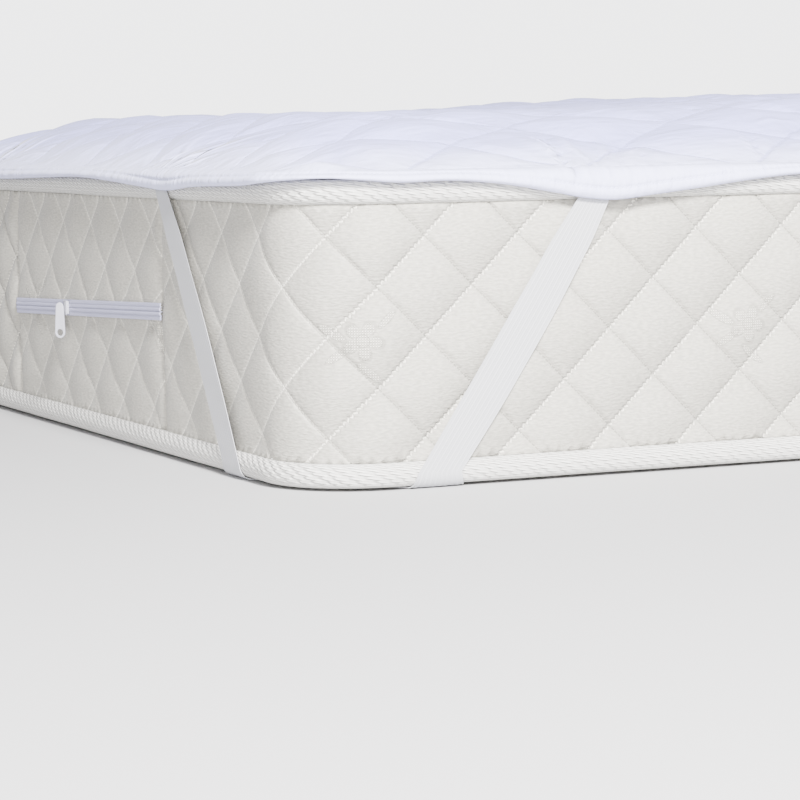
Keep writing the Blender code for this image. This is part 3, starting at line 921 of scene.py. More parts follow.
def pad_mesh():
    """The pad: a face of quilted diamonds, a stitched hem that drops over the tape, and a plain underside."""
    sizes = bpy.context.scene.protector_pad
    bm = bmesh.new()
    half_x, half_y = HALF_X - PAD_INSET, HALF_Y - PAD_INSET
    reach_x = math.ceil(half_x / sizes.pitch_x)
    cells_y = math.ceil(2 * HALF_Y / sizes.pitch_y) + 1
    lines_p = lattice_lines(-reach_x, reach_x + cells_y, PAD_LINES)
    lines_q = lattice_lines(-reach_x - cells_y, reach_x, PAD_LINES)
    lattice, on_hem, crease, pull = (
        bm.verts.layers.float_vector.new(name) for name in ("lattice", "on_hem", "crease", "pull")
    )
    add_grid(bm, lines_p, lines_q, lattice_place, lattice)
    margin = 120 * MM
    far = [v for v in bm.verts if abs(v.co.x) > half_x + margin or abs(v.co.y) > half_y + margin]
    bmesh.ops.delete(bm, geom=far, context="VERTS")
    for reach, way in ((half_x, Vector((1, 0, 0))), (half_y, Vector((0, 1, 0)))):
        cut(bm, way * reach, way)
        cut(bm, way * -reach, -way)
    rim = [v for v in bm.verts if v.is_boundary]
    corners = [v for v in rim if abs(v.co.x) > half_x - 1e-5 and abs(v.co.y) > half_y - 1e-5]
    bmesh.ops.remove_doubles(bm, verts=[v for v in rim if v not in corners], dist=RIM_MERGE)
    places = {}
    anchors = {}
    for vert in bm.verts:
        p, q, _ = vert[lattice]
        x, y = rounded(vert.co.x, vert.co.y, PAD_INSET)
        vert.co = (x, y, pad_top_z(x, y, p, q))
        vert[crease] = nearest_crease(x, y)
        vert[pull] = nearest_pull(x, y)
        # The second part is 1 on the hem, for its paler cotton, and fades onto the face as painted light that
        # makes it paler towards the hem.
        hem_cloth_and_painted_light = 1 - ease(min(HALF_X - abs(x), HALF_Y - abs(y)), -PAD_INSET, PAINTED_LIGHT_REACH)
        vert[on_hem] = (0, hem_cloth_and_painted_light ** 1.3, 0)
        x, y, z = vert.co
        places[vert] = (run_of(x, y) % ROUND, MAP_FACE)
        if vert.is_boundary:
            anchors[vert] = (x, y, hem_rings(x, y, z))
            vert[on_hem] = (1, 1, 0)
    edges = open_edges(bm)
    for ring in range(2 + len(HEM_RINGS) + len(HEM_INSIDE)):
        edges, anchors = draw_ring(bm, edges, anchors)
        for vert, (x, y, rings) in anchors.items():
            away, point = rings[ring]
            vert.co = Vector((x, y, 0)) + outward(x, y) * (point.x + PAD_INSET)
            vert.co.z = point.y
            vert[on_hem] = (1, 1, 0)
            places[vert] = (run_of(x, y) % ROUND, away)
    add_dome(bm, PAD_GAP)
    bmesh.ops.bridge_loops(bm, edges=open_edges(bm))
    for vert in bm.verts:
        places.setdefault(vert, (0, MAP_UNDER))
    store_map(bm, "hem", places, (ROUND, 0))
    return bm


def add_dome(bm, lift):
    """Adds a sheet that lies a lift above the mattress's top panel."""
    def place(x, y):
        x, y = rounded(x, y, DOME_INSET)
        return x, y, dome_z(x, y) + lift

    corner = CORNER_RADIUS - DOME_INSET
    lines_x, lines_y = (plan_lines(half - DOME_INSET, corner, DOME_CELL, 3) for half in (HALF_X, HALF_Y))
    add_grid(bm, lines_x, lines_y, place)


def cotton_finish():
    """Closely woven cotton, stitched in diamonds and along the hem, with fine wrinkles and puckers, painted
    shade in its seams, creases and between its folds, painted highlights on its crease ridges and fold
    crests, and painted light towards the hem.
    """
    sizes = bpy.context.scene.protector_pad
    finish = Finish("pad_cotton_face", 0.78, sheen_weight=0.2, sheen_roughness=0.4)
    p, q, _ = finish.attribute("lattice")
    on_hem, hem_cloth_and_painted_light, _ = finish.attribute("on_hem")
    off, depth, beside = finish.attribute("crease")
    phase, pull, _ = finish.attribute("pull")
    run, edge = finish.flat("hem")
    place = finish.place()
    spacing = 1 / math.hypot(1 / sizes.pitch_x, 1 / sizes.pitch_y)
    side = math.hypot(sizes.pitch_x, sizes.pitch_y) / 2
    from_p = p.near_whole() * spacing
    from_q = q.near_whole() * spacing
    on_face = 1 - on_hem.step(0.2, 0.9)
    seam = from_p.low(from_q) + on_hem * 0.05
    from_stitching = (edge - SEAM_FROM_HEM).size()
    above_hem = edge.step(6 * MM, 19 * MM)

    def stitches(away, along):
        """The stitches along a line."""
        dash = (along / sizes.stitch).near_whole().step(0.08, 0.2)
        return away.step(0.25 * MM, 0.75 * MM, 1, 0) * dash

    sewn = (stitches(from_p, q * side) + stitches(from_q, p * side)) * on_face
    sewn = (sewn + stitches(from_stitching, run) * on_hem).low(1)
    valley = seam.low(from_stitching + 2 * MM).step(0, 2.2 * MM, 1, 0)
    wrinkle = finish.grain(place, 40, 3, 0.6) * 1.6 * MM + finish.grain(place, 150) * 0.3 * MM
    wrinkle = wrinkle + finish.grain(finish.stretch(place, (12, 46, 20)), 1) * 2.6 * MM
    by_seam = finish.grain(finish.vector(p * side, q * side), 120) * seam.step(0, 12 * MM, 1.6 * MM, 0)
    by_hem = finish.grain(finish.vector(run * 260, edge * 60), 1, 1)
    by_hem = by_hem * from_stitching.step(0, 9 * MM, 1.6 * MM, 0)
    weave = finish.grain(place, 900, 1) * 0.06 * MM
    groove = off.step(0, 3.5 * MM, 1, 0) * depth * above_hem
    ridge = beside.step(0, 4.5 * MM, 1, 0) * depth * above_hem
    fan = phase.cosine().high(0) ** 2 * pull * above_hem
    between_folds = (1 - phase.cosine().size()) * pull * above_hem
    slack = finish.grain(finish.stretch(place, (9, 26, 20)), 1, 3, 0.55).size()
    slack = slack.step(0, 0.1, 1, 0) * seam.step(4 * MM, 12 * MM) * on_face
    height = wrinkle + by_seam * on_face + by_hem * on_hem + weave + fan * 1.2 * MM + slack * 0.5 * MM
    height = height + sewn * 0.3 * MM - valley * 0.45 * MM - groove * 0.9 + ridge * 0.6
    finish.relief(height)
    cloudy = (finish.grain(place, 7) * 0.5 + 0.5).clipped()
    # Painted shade in the creases' grooves, the seams' valleys and between the fan's folds, and painted
    # highlights on the creases' raised sides and the folds' crests.
    dark = groove / MM * 0.34 + valley * 0.1 + between_folds * 0.16
    painted_highlight = ridge / MM * 0.2 + fan * 0.25
    # Painted shade down in the seams' valleys and along the hem's stitching.
    colour = finish.blend(valley * 0.5, sizes.colour, sizes.seam_shade_colour)
    colour = finish.blend(cloudy * 0.25, colour, shade(sizes.colour, 0.95))
    # Painted light: the face paler towards the hem, with the hem's paler cotton on the hem itself.
    colour = finish.blend(hem_cloth_and_painted_light * (1 - valley * 0.5), colour, sizes.hem_and_painted_light_colour)
    # Painted shade in the creases and between folds, then painted highlights on their ridges and crests.
    colour = finish.blend(dark.low(1), colour, shade(sizes.seam_shade_colour, 0.82))
    finish.paint(finish.blend(painted_highlight.low(1), colour, sizes.hem_and_painted_light_colour))
    return finish


class PROTECTOR_OT_pad(bpy.types.Operator):
    """Makes the quilted pad with its stitched hem"""

    bl_idname = "protector.pad"
    bl_label = "Quilted pad"

    def execute(self, context):
        pad = add_piece("pad", pad_mesh(), cotton_finish())
        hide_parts("quilted_pad")
        return {"FINISHED"}


# The straps

FACE_STEPS = 40
TURN_STEPS = 8
UNDER_STEPS = 12
CELLS_ACROSS = 36
RIB_HEIGHT = 0.11 * MM
STRAP_WAVE = 0.25 * MM
STRAP_EDGE = 0.15 * MM


def half_rungs(half):
    """The cross-lines of half a strap, from its seam down a face and round under: middle, half, out, z."""
    height = STRAP_TOP_Z - BOTTOM_TAPE_Z
    lean = math.atan2(half["top"] - half["turn"], height)
    rungs = []
    for i in range(FACE_STEPS + 1):
        share = i / FACE_STEPS
        at = share * (len(STRAP_GATHER) - 1)
        k = min(int(at), len(STRAP_GATHER) - 2)
        gather = STRAP_GATHER[k] + (STRAP_GATHER[k + 1] - STRAP_GATHER[k]) * ease(at - k, 0, 1)
        line = half["top"] + (half["turn"] - half["top"]) * share + half["bow"] * math.sin(math.pi * share)
        wide = half["width"] / 2 / math.cos(lean) * gather
        rungs.append((line, wide, STRAP_OUTSET, STRAP_TOP_Z - height * share))
    face_wide = wide
    under_wide = half["width"] / 2 / math.cos(math.pi / 4)
    for i in range(1, TURN_STEPS + 1):
        angle = math.pi / 2 * i / TURN_STEPS
        wide = face_wide + (under_wide - face_wide) * i / TURN_STEPS
        out = (STRAP_OUTSET + 0.5 * MM) * math.cos(angle) - 0.5 * MM
        z = BOTTOM_TAPE_Z - (BOTTOM_TAPE_Z - STRAP_UNDER_Z) * math.sin(angle)
        rungs.append((half["turn"], wide, out, z))
    return rungs


def strap_path(strap):
    """The strap's cross-lines in space, each as its end nearer the corner and its other end."""
    x, y = strap["x"], strap["y"]
    on_long = [
        [Vector((x * (HALF_X - line - end), y * (HALF_Y + out), z)) for end in (-wide, wide)]
        for line, wide, out, z in half_rungs(strap["long"])
    ]
    on_short = [
        [Vector((x * (HALF_X + out), y * (HALF_Y - line - end), z)) for end in (-wide, wide)]
        for line, wide, out, z in half_rungs(strap["short"])
    ]
    under = [
        [a.lerp(b, i / UNDER_STEPS) for a, b in zip(on_long[-1], on_short[-1])] for i in range(1, UNDER_STEPS)
    ]
    return on_long + under + on_short[::-1]


def strap_runs(path):
    """How far along the strap's middle line each of its cross-lines is."""
    middles = [(near + far) / 2 for near, far in path]
    runs = [0]
    for a, b in zip(middles, middles[1:]):
        runs.append(runs[-1] + (b - a).length)
    return runs


def strap_mesh(strap):
    """One flat ribbed elastic: down the long side, slantwise under the corner and up the short side."""
    sizes = bpy.context.scene.protector_straps
    path = strap_path(strap)
    runs = strap_runs(path)
    bm = bmesh.new()
    weft = bm.verts.layers.float_vector.new("weft")
    lines = spaced(0, 1, 1 / CELLS_ACROSS)

    def place(across, rung):
        return path[rung][0].lerp(path[rung][1], across)

    rows = add_grid(bm, lines, range(len(path)), place)
    face_towards(bm, Vector((0, strap["y"], 0)))
    ways = {vert: vert.normal.copy() for vert in bm.verts}
    for run, row in zip(runs, rows):
        for across, vert in zip(lines, row):
            vert[weft] = (across, run, 0)
            rib = RIB_HEIGHT * math.cos(2 * math.pi * sizes.ribs * across)
            wave = STRAP_WAVE * noise.noise(Vector((across * 1.5, run * 22, strap["x"] * 3 + strap["y"])))
            vert.co += ways[vert] * (rib + wave)
    bmesh.ops.solidify(bm, geom=bm.faces[:], thickness=-sizes.thickness)
    sharp = [edge for edge in bm.edges if len(edge.link_faces) == 2 and edge.calc_face_angle(0) > 1.0]
    soften(bm, sharp, STRAP_EDGE, 2)
    return bm


def elastic_finish():
    """Woven elastic: lengthwise ribs crossed by fine weft threads, with painted shade in the grooves between
    the ribs.
    """
    sizes = bpy.context.scene.protector_straps
    finish = Finish("strap_elastic_weave", 0.7, sheen_weight=0.1)
    across, run, _ = finish.attribute("weft")
    place = finish.place()
    ribs = (across * (2 * math.pi * sizes.ribs * 2)).cosine()
    threads = (run * (2 * math.pi / (1.1 * MM)) + across.near_whole() * 30).sine()
    finish.relief(ribs * 0.05 * MM + threads * 0.02 * MM + finish.grain(place, 300) * 0.08 * MM)
    # Painted shade down in the grooves between the ribs.
    groove = (across * sizes.ribs + 0.5).near_whole().step(0, 0.22, 1, 0)
    finish.paint(finish.blend(groove * 0.35, sizes.colour, shade(sizes.colour, 0.8)))
    return finish


class PROTECTOR_OT_straps(bpy.types.Operator):
    """Makes the four ribbed elastic straps"""

    bl_idname = "protector.straps"
    bl_label = "Elastic straps"

    def execute(self, context):
        finish = elastic_finish()
        for strap in STRAPS:
            length = strap_runs(strap_path(strap))[-1]
            piece = add_piece(strap["name"].replace("strap", "elastic"), strap_mesh(strap), finish)
            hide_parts(strap["name"])
        return {"FINISHED"}


# The mattress


def border_outset(z):
    """How far the border stands out of the outline at a height: a soft bulge between the tapes."""
    share = min(max((z - BOTTOM_TAPE_Z) / (TOP_TAPE_Z - BOTTOM_TAPE_Z), 0), 1)
    return BORDER_BULGE * hill(share, 0.6)


def seam_coordinates(panel, run, z):
    """Where a point of a panel lies in its lattice of seams."""
    sizes = bpy.context.scene.protector_mattress
    along, up = (run - panel["node"]) / sizes.pitch_along, (z - NODE_Z) / sizes.pitch_up
    return along + up, along - up


def border_depth(panel, run, z):
    """How far a point of a panel's face stands out: puffed, and drawn in at its edges and the zip."""
    sizes = bpy.context.scene.protector_mattress
    p, q = seam_coordinates(panel, run, z)
    edge_up = min(z - BORDER_LOW, BORDER_HIGH - z)
    edge_along = min(run - panel["start"], panel["end"] - run)
    fade = arch(edge_up + 2 * MM, 16 * MM) * arch(edge_along + 1 * MM, 14 * MM)
    stretched = HEAD_PUFF + (1 - HEAD_PUFF) * ease(run, HEAD_START, HEAD_END)
    puff = sizes.border_puff * stretched * hill(p, 0.4) * hill(q, 0.75) * fade
    lumps = BORDER_LUMPS * noise.noise(Vector((run * 16, z * 16, 3))) * fade
    roll = PANEL_ROLL * (1 - arch(edge_along, 7 * MM))
    to_tape = TAPE_RISE * (1 - arch(edge_up, 9 * MM))
    depth = border_outset(z) - BORDER_SUNK + puff + lumps - roll + to_tape
    if panel["name"] == "border_zip":
        zip_middle = box_middle(ZIP_TAPE)
        slope = math.tan(bpy.context.scene.protector_zip.slope)
        level = zip_middle.z + slope * (outline(run)[0].y - zip_middle.y)
        press = math.exp(-((z - level) / ZIP_PRESS) ** 4) * ease(edge_along, -3 * MM, 3 * MM)
        depth += (BORDER_BULGE - 0.4 * MM - depth) * press
    return depth


def border_tile():
    """One column of the border's diamonds, flat: half a diamond each way along X, and its heights in Y."""
    sizes = bpy.context.scene.protector_mattress
    bm = bmesh.new()

    def place(p, q):
        return sizes.pitch_along * (p + q) / 2, NODE_Z + sizes.pitch_up * (p - q) / 2, 0

    add_grid(bm, lattice_lines(-2, 4, BORDER_LINES), lattice_lines(-4, 2, BORDER_LINES), place)
    half = sizes.pitch_along / 2
    cut(bm, (half, 0, 0), (1, 0, 0))
    cut(bm, (-half, 0, 0), (-1, 0, 0))
    cut(bm, (0, BORDER_HIGH, 0), (0, 1, 0))
    cut(bm, (0, BORDER_LOW, 0), (0, -1, 0))
    return bm


def border_mesh(panel):
    """One quilted panel of the border, wrapped round the outline and closed behind."""
    pitch = bpy.context.scene.protector_mattress.pitch_along
    start, end, node = panel["start"], panel["end"], panel["node"]
    bm = border_tile()
    tile = bm.verts[:] + bm.edges[:] + bm.faces[:]
    first = math.floor((start - node) / pitch - 0.5) + 1
    bmesh.ops.translate(bm, verts=bm.verts, vec=(node + first * pitch, 0, 0))
    for i in range(1, math.ceil((end - start) / pitch) + 2):
        copy = bmesh.ops.duplicate(bm, geom=tile)["geom"]
        bmesh.ops.translate(bm, verts=made_verts(copy), vec=(i * pitch, 0, 0))
    bmesh.ops.remove_doubles(bm, verts=bm.verts, dist=0.02 * MM)
    cut(bm, (start, 0, 0), (-1, 0, 0))
    cut(bm, (end, 0, 0), (1, 0, 0))
    cloth = bm.verts.layers.float_vector.new("cloth")
    quilting = bm.verts.layers.float_vector.new("quilting")
    depths = {}
    for vert in bm.verts:
        run, z, _ = vert.co
        vert[cloth] = (run, z, 0)
        vert[quilting] = (*seam_coordinates(panel, run, z), 0)
        depths[vert] = border_depth(panel, run, z)
    made = bmesh.ops.extrude_edge_only(bm, edges=open_edges(bm))["geom"]
    for vert in made_verts(made):
        depths[vert] = BORDER_BACK
        vert[cloth] = (vert.co.x, vert.co.y, 1)
    lengthwise = [
        edge for edge in open_edges(bm)
        if all(min(vert.co.y - BORDER_LOW, BORDER_HIGH - vert.co.y) < 0.01 * MM for vert in edge.verts)
    ]
    bmesh.ops.bridge_loops(bm, edges=lengthwise)
    bmesh.ops.holes_fill(bm, edges=open_edges(bm), sides=0)
    for vert in bm.verts:
        run, z, _ = vert.co
        place, way = outline(run)
        vert.co = place + way * depths[vert]
        vert.co.z = z
    return bm


# The plain wall behind the border: (outset, height) of its rings, and the underside inside the last one
CORE_WALL = in_mm((-7.8, 192.5), (-7.8, 4.2), (-10, 2.8))
UNDER_INSET = 13 * MM
UNDER_CELL = 60 * MM
UNDER_FINE_CELL = 7 * MM
UNDER_FINE_REACH = 200 * MM


def groove_z(x, y):
    """Height of the mattress's underside, which is lifted over each strap that passes under it."""
    lift = 0
    for strap in STRAPS:
        start = Vector((strap["x"] * (HALF_X - strap["long"]["turn"]), strap["y"] * HALF_Y))
        end = Vector((strap["x"] * HALF_X, strap["y"] * (HALF_Y - strap["short"]["turn"])))
        way = (end - start).normalized()
        off = abs((x - start.x) * way.y - (y - start.y) * way.x)
        lift = max(lift, 1 - ease(off, 20 * MM, 28 * MM))
    return GROOVE_HEIGHT * lift


def core_mesh():
    """The mattress's body: a domed top, a plain wall behind the border, and the grooved underside."""
    bm = bmesh.new()
    add_dome(bm, 0)
    reached = -DOME_INSET
    for outset, z in CORE_WALL:
        made = bmesh.ops.extrude_edge_only(bm, edges=open_edges(bm))["geom"]
        for vert in made_verts(made):
            vert.co += outward(vert.co.x, vert.co.y) * (outset - reached)
            vert.co.z = z
        reached = outset

    def place(x, y):
        x, y = rounded(x, y, UNDER_INSET)
        return x, y, groove_z(x, y)

    lines = []
    for half in (HALF_X, HALF_Y):
        fine = spaced(half - UNDER_FINE_REACH, half - CORNER_RADIUS, UNDER_FINE_CELL)
        lines.append(plan_lines(half - UNDER_INSET, CORNER_RADIUS - UNDER_INSET, UNDER_CELL, 6, fine))
    add_grid(bm, *lines, place)
    bmesh.ops.bridge_loops(bm, edges=open_edges(bm))
    return bm


def ripple_colour(finish, ripple):
    """The ticking's colour, painted paler where its ripples rise: a painted highlight on their crests."""
    colour = bpy.context.scene.protector_mattress.colour
    return finish.blend((ripple * 1.6 + 0.24).clipped(), colour, shade(colour, 1.6))


def ticking_finish():
    """Knitted ticking: a crepe of short level ripples, quilted in diamonds, with small woven sprigs, painted
    highlights on the ripples' crests, painted light beside the head end's seams and painted shade on the down
    stitches off the head end.
    """
    sizes = bpy.context.scene.protector_mattress
    finish = Finish("ticking_knit", 0.86, sheen_weight=0.15)
    run, z, _ = finish.attribute("cloth")
    p, q, _ = finish.attribute("quilting")
    spacing = 1 / math.hypot(1 / sizes.pitch_along, 1 / sizes.pitch_up)
    side = math.hypot(sizes.pitch_along, sizes.pitch_up) / 2

    def from_line(value, shift=0):
        """Distance from the nearest line of stitches."""
        return (((value + 0.5) - (value + 0.5).whole() - 0.5) * spacing + shift).size()

    def dome(away, rise):
        """The wadding's roundness between two lines."""
        share = (away / (spacing / 2)).low(1)
        return share * (2 - share) * rise

    def thread(away, along):
        """The stitches along a line."""
        return away.step(0.25 * MM, 0.8 * MM, 1, 0) * (along / (3.2 * MM)).near_whole().step(0.07, 0.2)

    head = run.step(HEAD_START, HEAD_END, 1, 0)
    zigzag = ((p * side / (4 * MM)).near_whole() - 0.25) * 3.2 * MM * (1 - head)
    from_p = from_line(p)
    from_q = from_line(q)
    stitched = from_line(q, zigzag)
    seam = from_p.low(from_q)
    up = thread(stitched, p * side)
    down = thread(from_p, q * side)
    # The stitches' white thread, and on the head end a pale band beside every seam, which is painted light.
    sewn = up.high(down * head).high(seam.step(0.4 * MM, 2.0 * MM, 0.3, 0) * head)
    ripple = finish.grain(finish.vector(run * 260, z * 800), 1, 1)
    knit = finish.grain(finish.vector(run * 820, z * 900), 1, 1)
    pucker = finish.grain(finish.vector(p * side * 300, q * side * 300), 1, 1)
    lumps = finish.grain(finish.vector(run * 40, z * 46), 1)
    sprig, sprig_edge, dots = sprigs(finish, run, z)
    height = ripple * (1 - sprig) * 0.45 * MM + knit * 0.12 * MM + lumps * 0.7 * MM + sprig * dots * 0.9 * MM
    height = height + pucker * seam.step(0, 7 * MM, 0.5 * MM, 0)
    height = height + (dome(from_p, 1.0 * MM) + dome(from_q, 3.2 * MM)) * (1 - head * 0.62)
    height = height - from_p.step(0, 1.6 * MM, 0.3 * MM, 0)
    height = height - stitched.step(0, 2.2 * MM, 0.55 * MM, 0) * (1 - head * 0.6)
    finish.relief(height + (up + down) * 0.3 * MM)
    white = tuple(min(part, 0.9) for part in shade(sizes.colour, 2.2))
    # Painted highlights on the ripples' crests, under the sprigs' white dots.
    colour = finish.blend(sprig * dots, ripple_colour(finish, ripple), white)
    colour = finish.blend(sprig_edge * 0.5, colour, shade(sizes.colour, 0.7))
    # Painted light beside the head end's seams, with the stitches' white thread.
    colour = finish.blend(sewn, colour, white)
    # Painted shade: off the head end the down stitches are darkened, where the head end shows them white.
    finish.paint(finish.blend(down * (1 - head) * 0.65, colour, shade(sizes.colour, 0.55)))
    return finish


def plain_ticking_finish():
    """The same ticking without quilting, for the mattress's underside."""
    finish = Finish("ticking_plain", 0.86, sheen_weight=0.15)
    place = finish.place()
    ripple = finish.grain(finish.stretch(place, (260, 700, 260)), 1, 1)
    finish.relief(ripple * 0.45 * MM + finish.grain(place, 30) * 0.7 * MM)
    # Painted highlights on the ripples' crests.
    finish.paint(ripple_colour(finish, ripple))
    return finish


# The woven sprig: its repeat, its place on the border, its flower, and its leaves (place, half sizes, lean)
SPRIG_PERIOD = 274 * MM
SPRIG_RUN = 28 * MM
SPRIG_Z = 94 * MM
PETAL = 13 * MM
SPRIG_HEART = 4 * MM
LEAVES = ((-19, 5, 9, 3.5, -0.5), (-15, -9, 8, 3, 0.6), (4, -20, 8, 3.2, -0.7), (15, 13, 6, 3, 0.8))
SPRIG_DOT = 1.6 * MM


def sprigs(finish, run, z):
    """The woven sprigs, one to every repeat of the ticking: their fill, their outline and their dots."""
    share = (run - SPRIG_RUN) / SPRIG_PERIOD + 0.5
    x = (share - share.whole() - 0.5) * SPRIG_PERIOD
    y = z - SPRIG_Z
    radius = (x * x + y * y) ** 0.5
    petals = (y.angle(x) * 2.5 + 0.4).cosine().size() ** 0.4 * PETAL
    shapes = [radius / petals, radius / SPRIG_HEART]
    for leaf_x, leaf_y, long, wide, lean in LEAVES:
        from_x, from_y = x - leaf_x * MM, y - leaf_y * MM
        across = (from_y - from_x * lean) / (wide * MM)
        shapes.append(((from_x / (long * MM)).size() ** 2 + across * across) ** 0.5)
    fill, edge = 0, 0
    for shape in shapes:
        fill = shape.step(0.86, 0.96, 1, 0).high(fill)
        edge = (shape - 1).size().step(0.05, 0.14, 1, 0).high(edge)
    dots = (run / SPRIG_DOT).near_whole() * (z / SPRIG_DOT).near_whole() * 4
    return fill, edge, dots.step(0.15, 0.5)


def tape_mesh(middle_z, box):
    """An oval roll that follows the outline, with a little unevenness."""
    half_height = (box[1].z - box[0].z) / 2 - TAPE_SLACK
    bm = bmesh.new()
    start = bmesh.ops.create_circle(bm, segments=TAPE_SIDES, radius=1)["verts"]
    first = edges = bm.edges[:]
    lanes = {vert: i for i, vert in enumerate(start)}
    places = {}
    for i in range(TAPE_RINGS):
        if i > 0:
            edges, lanes = draw_ring(bm, edges, lanes)
        run = ROUND * i / TAPE_RINGS
        place, way = outline(run)
        swell = TAPE_SWELL * noise.noise(Vector((run * 14, middle_z * 9, 1)))
        rise = TAPE_WAVER * noise.noise(Vector((run * 7, 5 + middle_z, 2)))
        for vert, lane in lanes.items():
            angle = 2 * math.pi * lane / TAPE_SIDES
            vert.co = place + way * ((TAPE_HALF_DEPTH + swell * 0.6) * math.cos(angle) - TAPE_INSET)
            vert.co.z = middle_z + (half_height + swell * 0.5) * math.sin(angle) + rise
            places[vert] = (run, lane / TAPE_SIDES)
    bmesh.ops.bridge_loops(bm, edges=edges + first)
    store_map(bm, "knit", places, (ROUND, 1))
    return bm


def tape_finish():
    """Knitted tape: rows of long white stitches that lie slantwise, half a stitch apart from row to row, with
    painted shade between the raised stitches.
    """
    sizes = bpy.context.scene.protector_mattress
    finish = Finish("edge_tape_knit", 0.85, sheen_weight=0.1)
    place = finish.place()
    run, lane = finish.flat("knit")
    row = lane * KNIT_ROWS
    column = run / (ROUND / KNIT_COLUMNS) + finish.grain(place, 90) * 0.8
    stitch = (column + row * 0.5 + (row - row.whole()) * 0.3).near_whole() * 2
    in_row = row.near_whole() * 2
    knot = (in_row * 0.7 + stitch * 1.1).step(0.5, 1.3)
    finish.relief(knot * 1.3 * MM + finish.grain(place, 260) * 0.25 * MM)
    # Painted shade between the raised stitches.
    finish.paint(finish.blend(1 - knot, sizes.tape_colour, shade(sizes.tape_colour, 0.8)))
    return finish


class PROTECTOR_OT_mattress(bpy.types.Operator):
    """Makes the mattress that the protector is fitted to: its body, quilted border and edge tapes"""

    bl_idname = "protector.mattress"
    bl_label = "Mattress"

    def execute(self, context):
        ticking = ticking_finish()
        core = add_piece("mattress_body", core_mesh(), plain_ticking_finish())
        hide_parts("mattress")
        for panel in PANELS:
            piece = add_piece(panel["name"], border_mesh(panel), ticking)
        tape = tape_finish()
        for name, z, box in (("tape_top", TOP_TAPE_Z, TOP_TAPE), ("tape_bottom", BOTTOM_TAPE_Z, BOTTOM_TAPE)):
            piece = add_piece(name, tape_mesh(z, box), tape)
            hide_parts("edge_" + name)
        return {"FINISHED"}


# The zip

ZIP_ROWS = in_mm((0, 0.2, 0.5, 0.9, 1.5, 2.1, 2.5, 2.8, 3.0, 3.2, 3.6, 4.4, 5.2, 5.6, 5.85, 6.0))[0]


def zip_place(box):
    """Turns and places a piece that is modelled at the origin to the head end, at a box's middle."""
    slope = bpy.context.scene.protector_zip.slope
    return Matrix.Translation(box_middle(box)) @ Matrix.Rotation(slope, 4, "X")


def zip_tape_mesh():
    """The zip's tape: two woven bands with the coil between them, modelled as X in, Y along, Z up."""
    bm = bmesh.new()
    thread = bm.verts.layers.float_vector.new("thread")
    half = (ZIP_TAPE[1].y - ZIP_TAPE[0].y) / 2 - 0.3 * MM
    lines_z = [-z for z in ZIP_ROWS[:0:-1]] + list(ZIP_ROWS)

    def place(y, z):
        coil = 0.8 * MM * max(1 - ((abs(z) - 1.5 * MM) / (1.5 * MM)) ** 2, 0) ** 0.5
        band = 0.3 * MM * max(1 - ((abs(z) - 4.5 * MM) / (1.5 * MM)) ** 4, 0)
        wave = 0.2 * MM * noise.noise(Vector((y * 30, 1, 0)))
        return -(coil + band + wave), y, z

    add_grid(bm, spaced(-half, half, 1.5 * MM), lines_z, place, thread)
    face_towards(bm, Vector((-1, 0, 0)))
    bmesh.ops.solidify(bm, geom=bm.faces[:], thickness=0.6 * MM)
    bmesh.ops.transform(bm, matrix=zip_place(ZIP_TAPE), verts=bm.verts)
    return bm


def rounded_box(bm, size, place, radius, segments=3):
    """Adds a box with rounded edges, its size and place in millimetres."""
    matrix = Matrix.Translation(Vector(place) * MM) @ Matrix.Diagonal((*(Vector(size) * MM), 1))
    made = bmesh.ops.create_cube(bm, size=1, matrix=matrix)["verts"]
    soften(bm, [edge for edge in bm.edges if edge.verts[0] in made], radius * MM, segments)


def slider_mesh():
    """The slider: a plate that narrows downwards, with side flanges and the bail that carries the tab."""
    bm = bmesh.new()
    rounded_box(bm, (1.0, 7.6, 10.6), (-0.6, 0, 0), 0.4)
    for vert in bm.verts:
        vert.co.y *= 1 - 0.28 * ease(-vert.co.z, 0, 5.3 * MM)
    for side in (-1, 1):
        rounded_box(bm, (1.9, 0.9, 9.6), (0.35, side * 3.2, 0), 0.35)
    rounded_box(bm, (1.6, 2.2, 7.4), (-0.55, 0, 0.4), 0.6, 4)
    bmesh.ops.transform(bm, matrix=zip_place(ZIP_SLIDER), verts=bm.verts)
    return bm


def tab_mesh():
    """The pull tab: a round-ended plate, narrower at its top, with a hole at its lower end."""
    width, length, thick, hole_radius = 8.5 * MM, 27 * MM, 1.4 * MM, 2.6 * MM
    low = width - length
    at_low = Matrix.Translation((0, 0, low)) @ Matrix.Rotation(math.pi / 2, 4, "Y")
    bm = bmesh.new()
    for vert in bmesh.ops.create_circle(bm, segments=24, radius=width / 2, matrix=at_low)["verts"]:
        if vert.co.z > low + 0.001 * MM:
            vert.co.z += length - width
            vert.co.y *= 0.78
    bmesh.ops.create_circle(bm, segments=24, radius=hole_radius, matrix=at_low)
    bmesh.ops.bridge_loops(bm, edges=bm.edges[:])
    made = bmesh.ops.extrude_face_region(bm, geom=bm.faces[:])["geom"]
    bmesh.ops.translate(bm, verts=made_verts(made), vec=(thick, 0, 0))
    bmesh.ops.translate(bm, verts=bm.verts, vec=(-thick / 2, 0, 0))
    bmesh.ops.recalc_face_normals(bm, faces=bm.faces)
    soften(bm, [edge for edge in bm.edges if edge.calc_face_angle(0) > 1.2], 0.35 * MM, 3)
    hung = box_middle(ZIP_TAB)
    hung.z = ZIP_TAB[1].z - width / 2
    turn = Matrix.Rotation(bpy.context.scene.protector_zip.tab_turn, 4, "Z")
    bmesh.ops.transform(bm, matrix=Matrix.Translation(hung) @ turn, verts=bm.verts)
    return bm


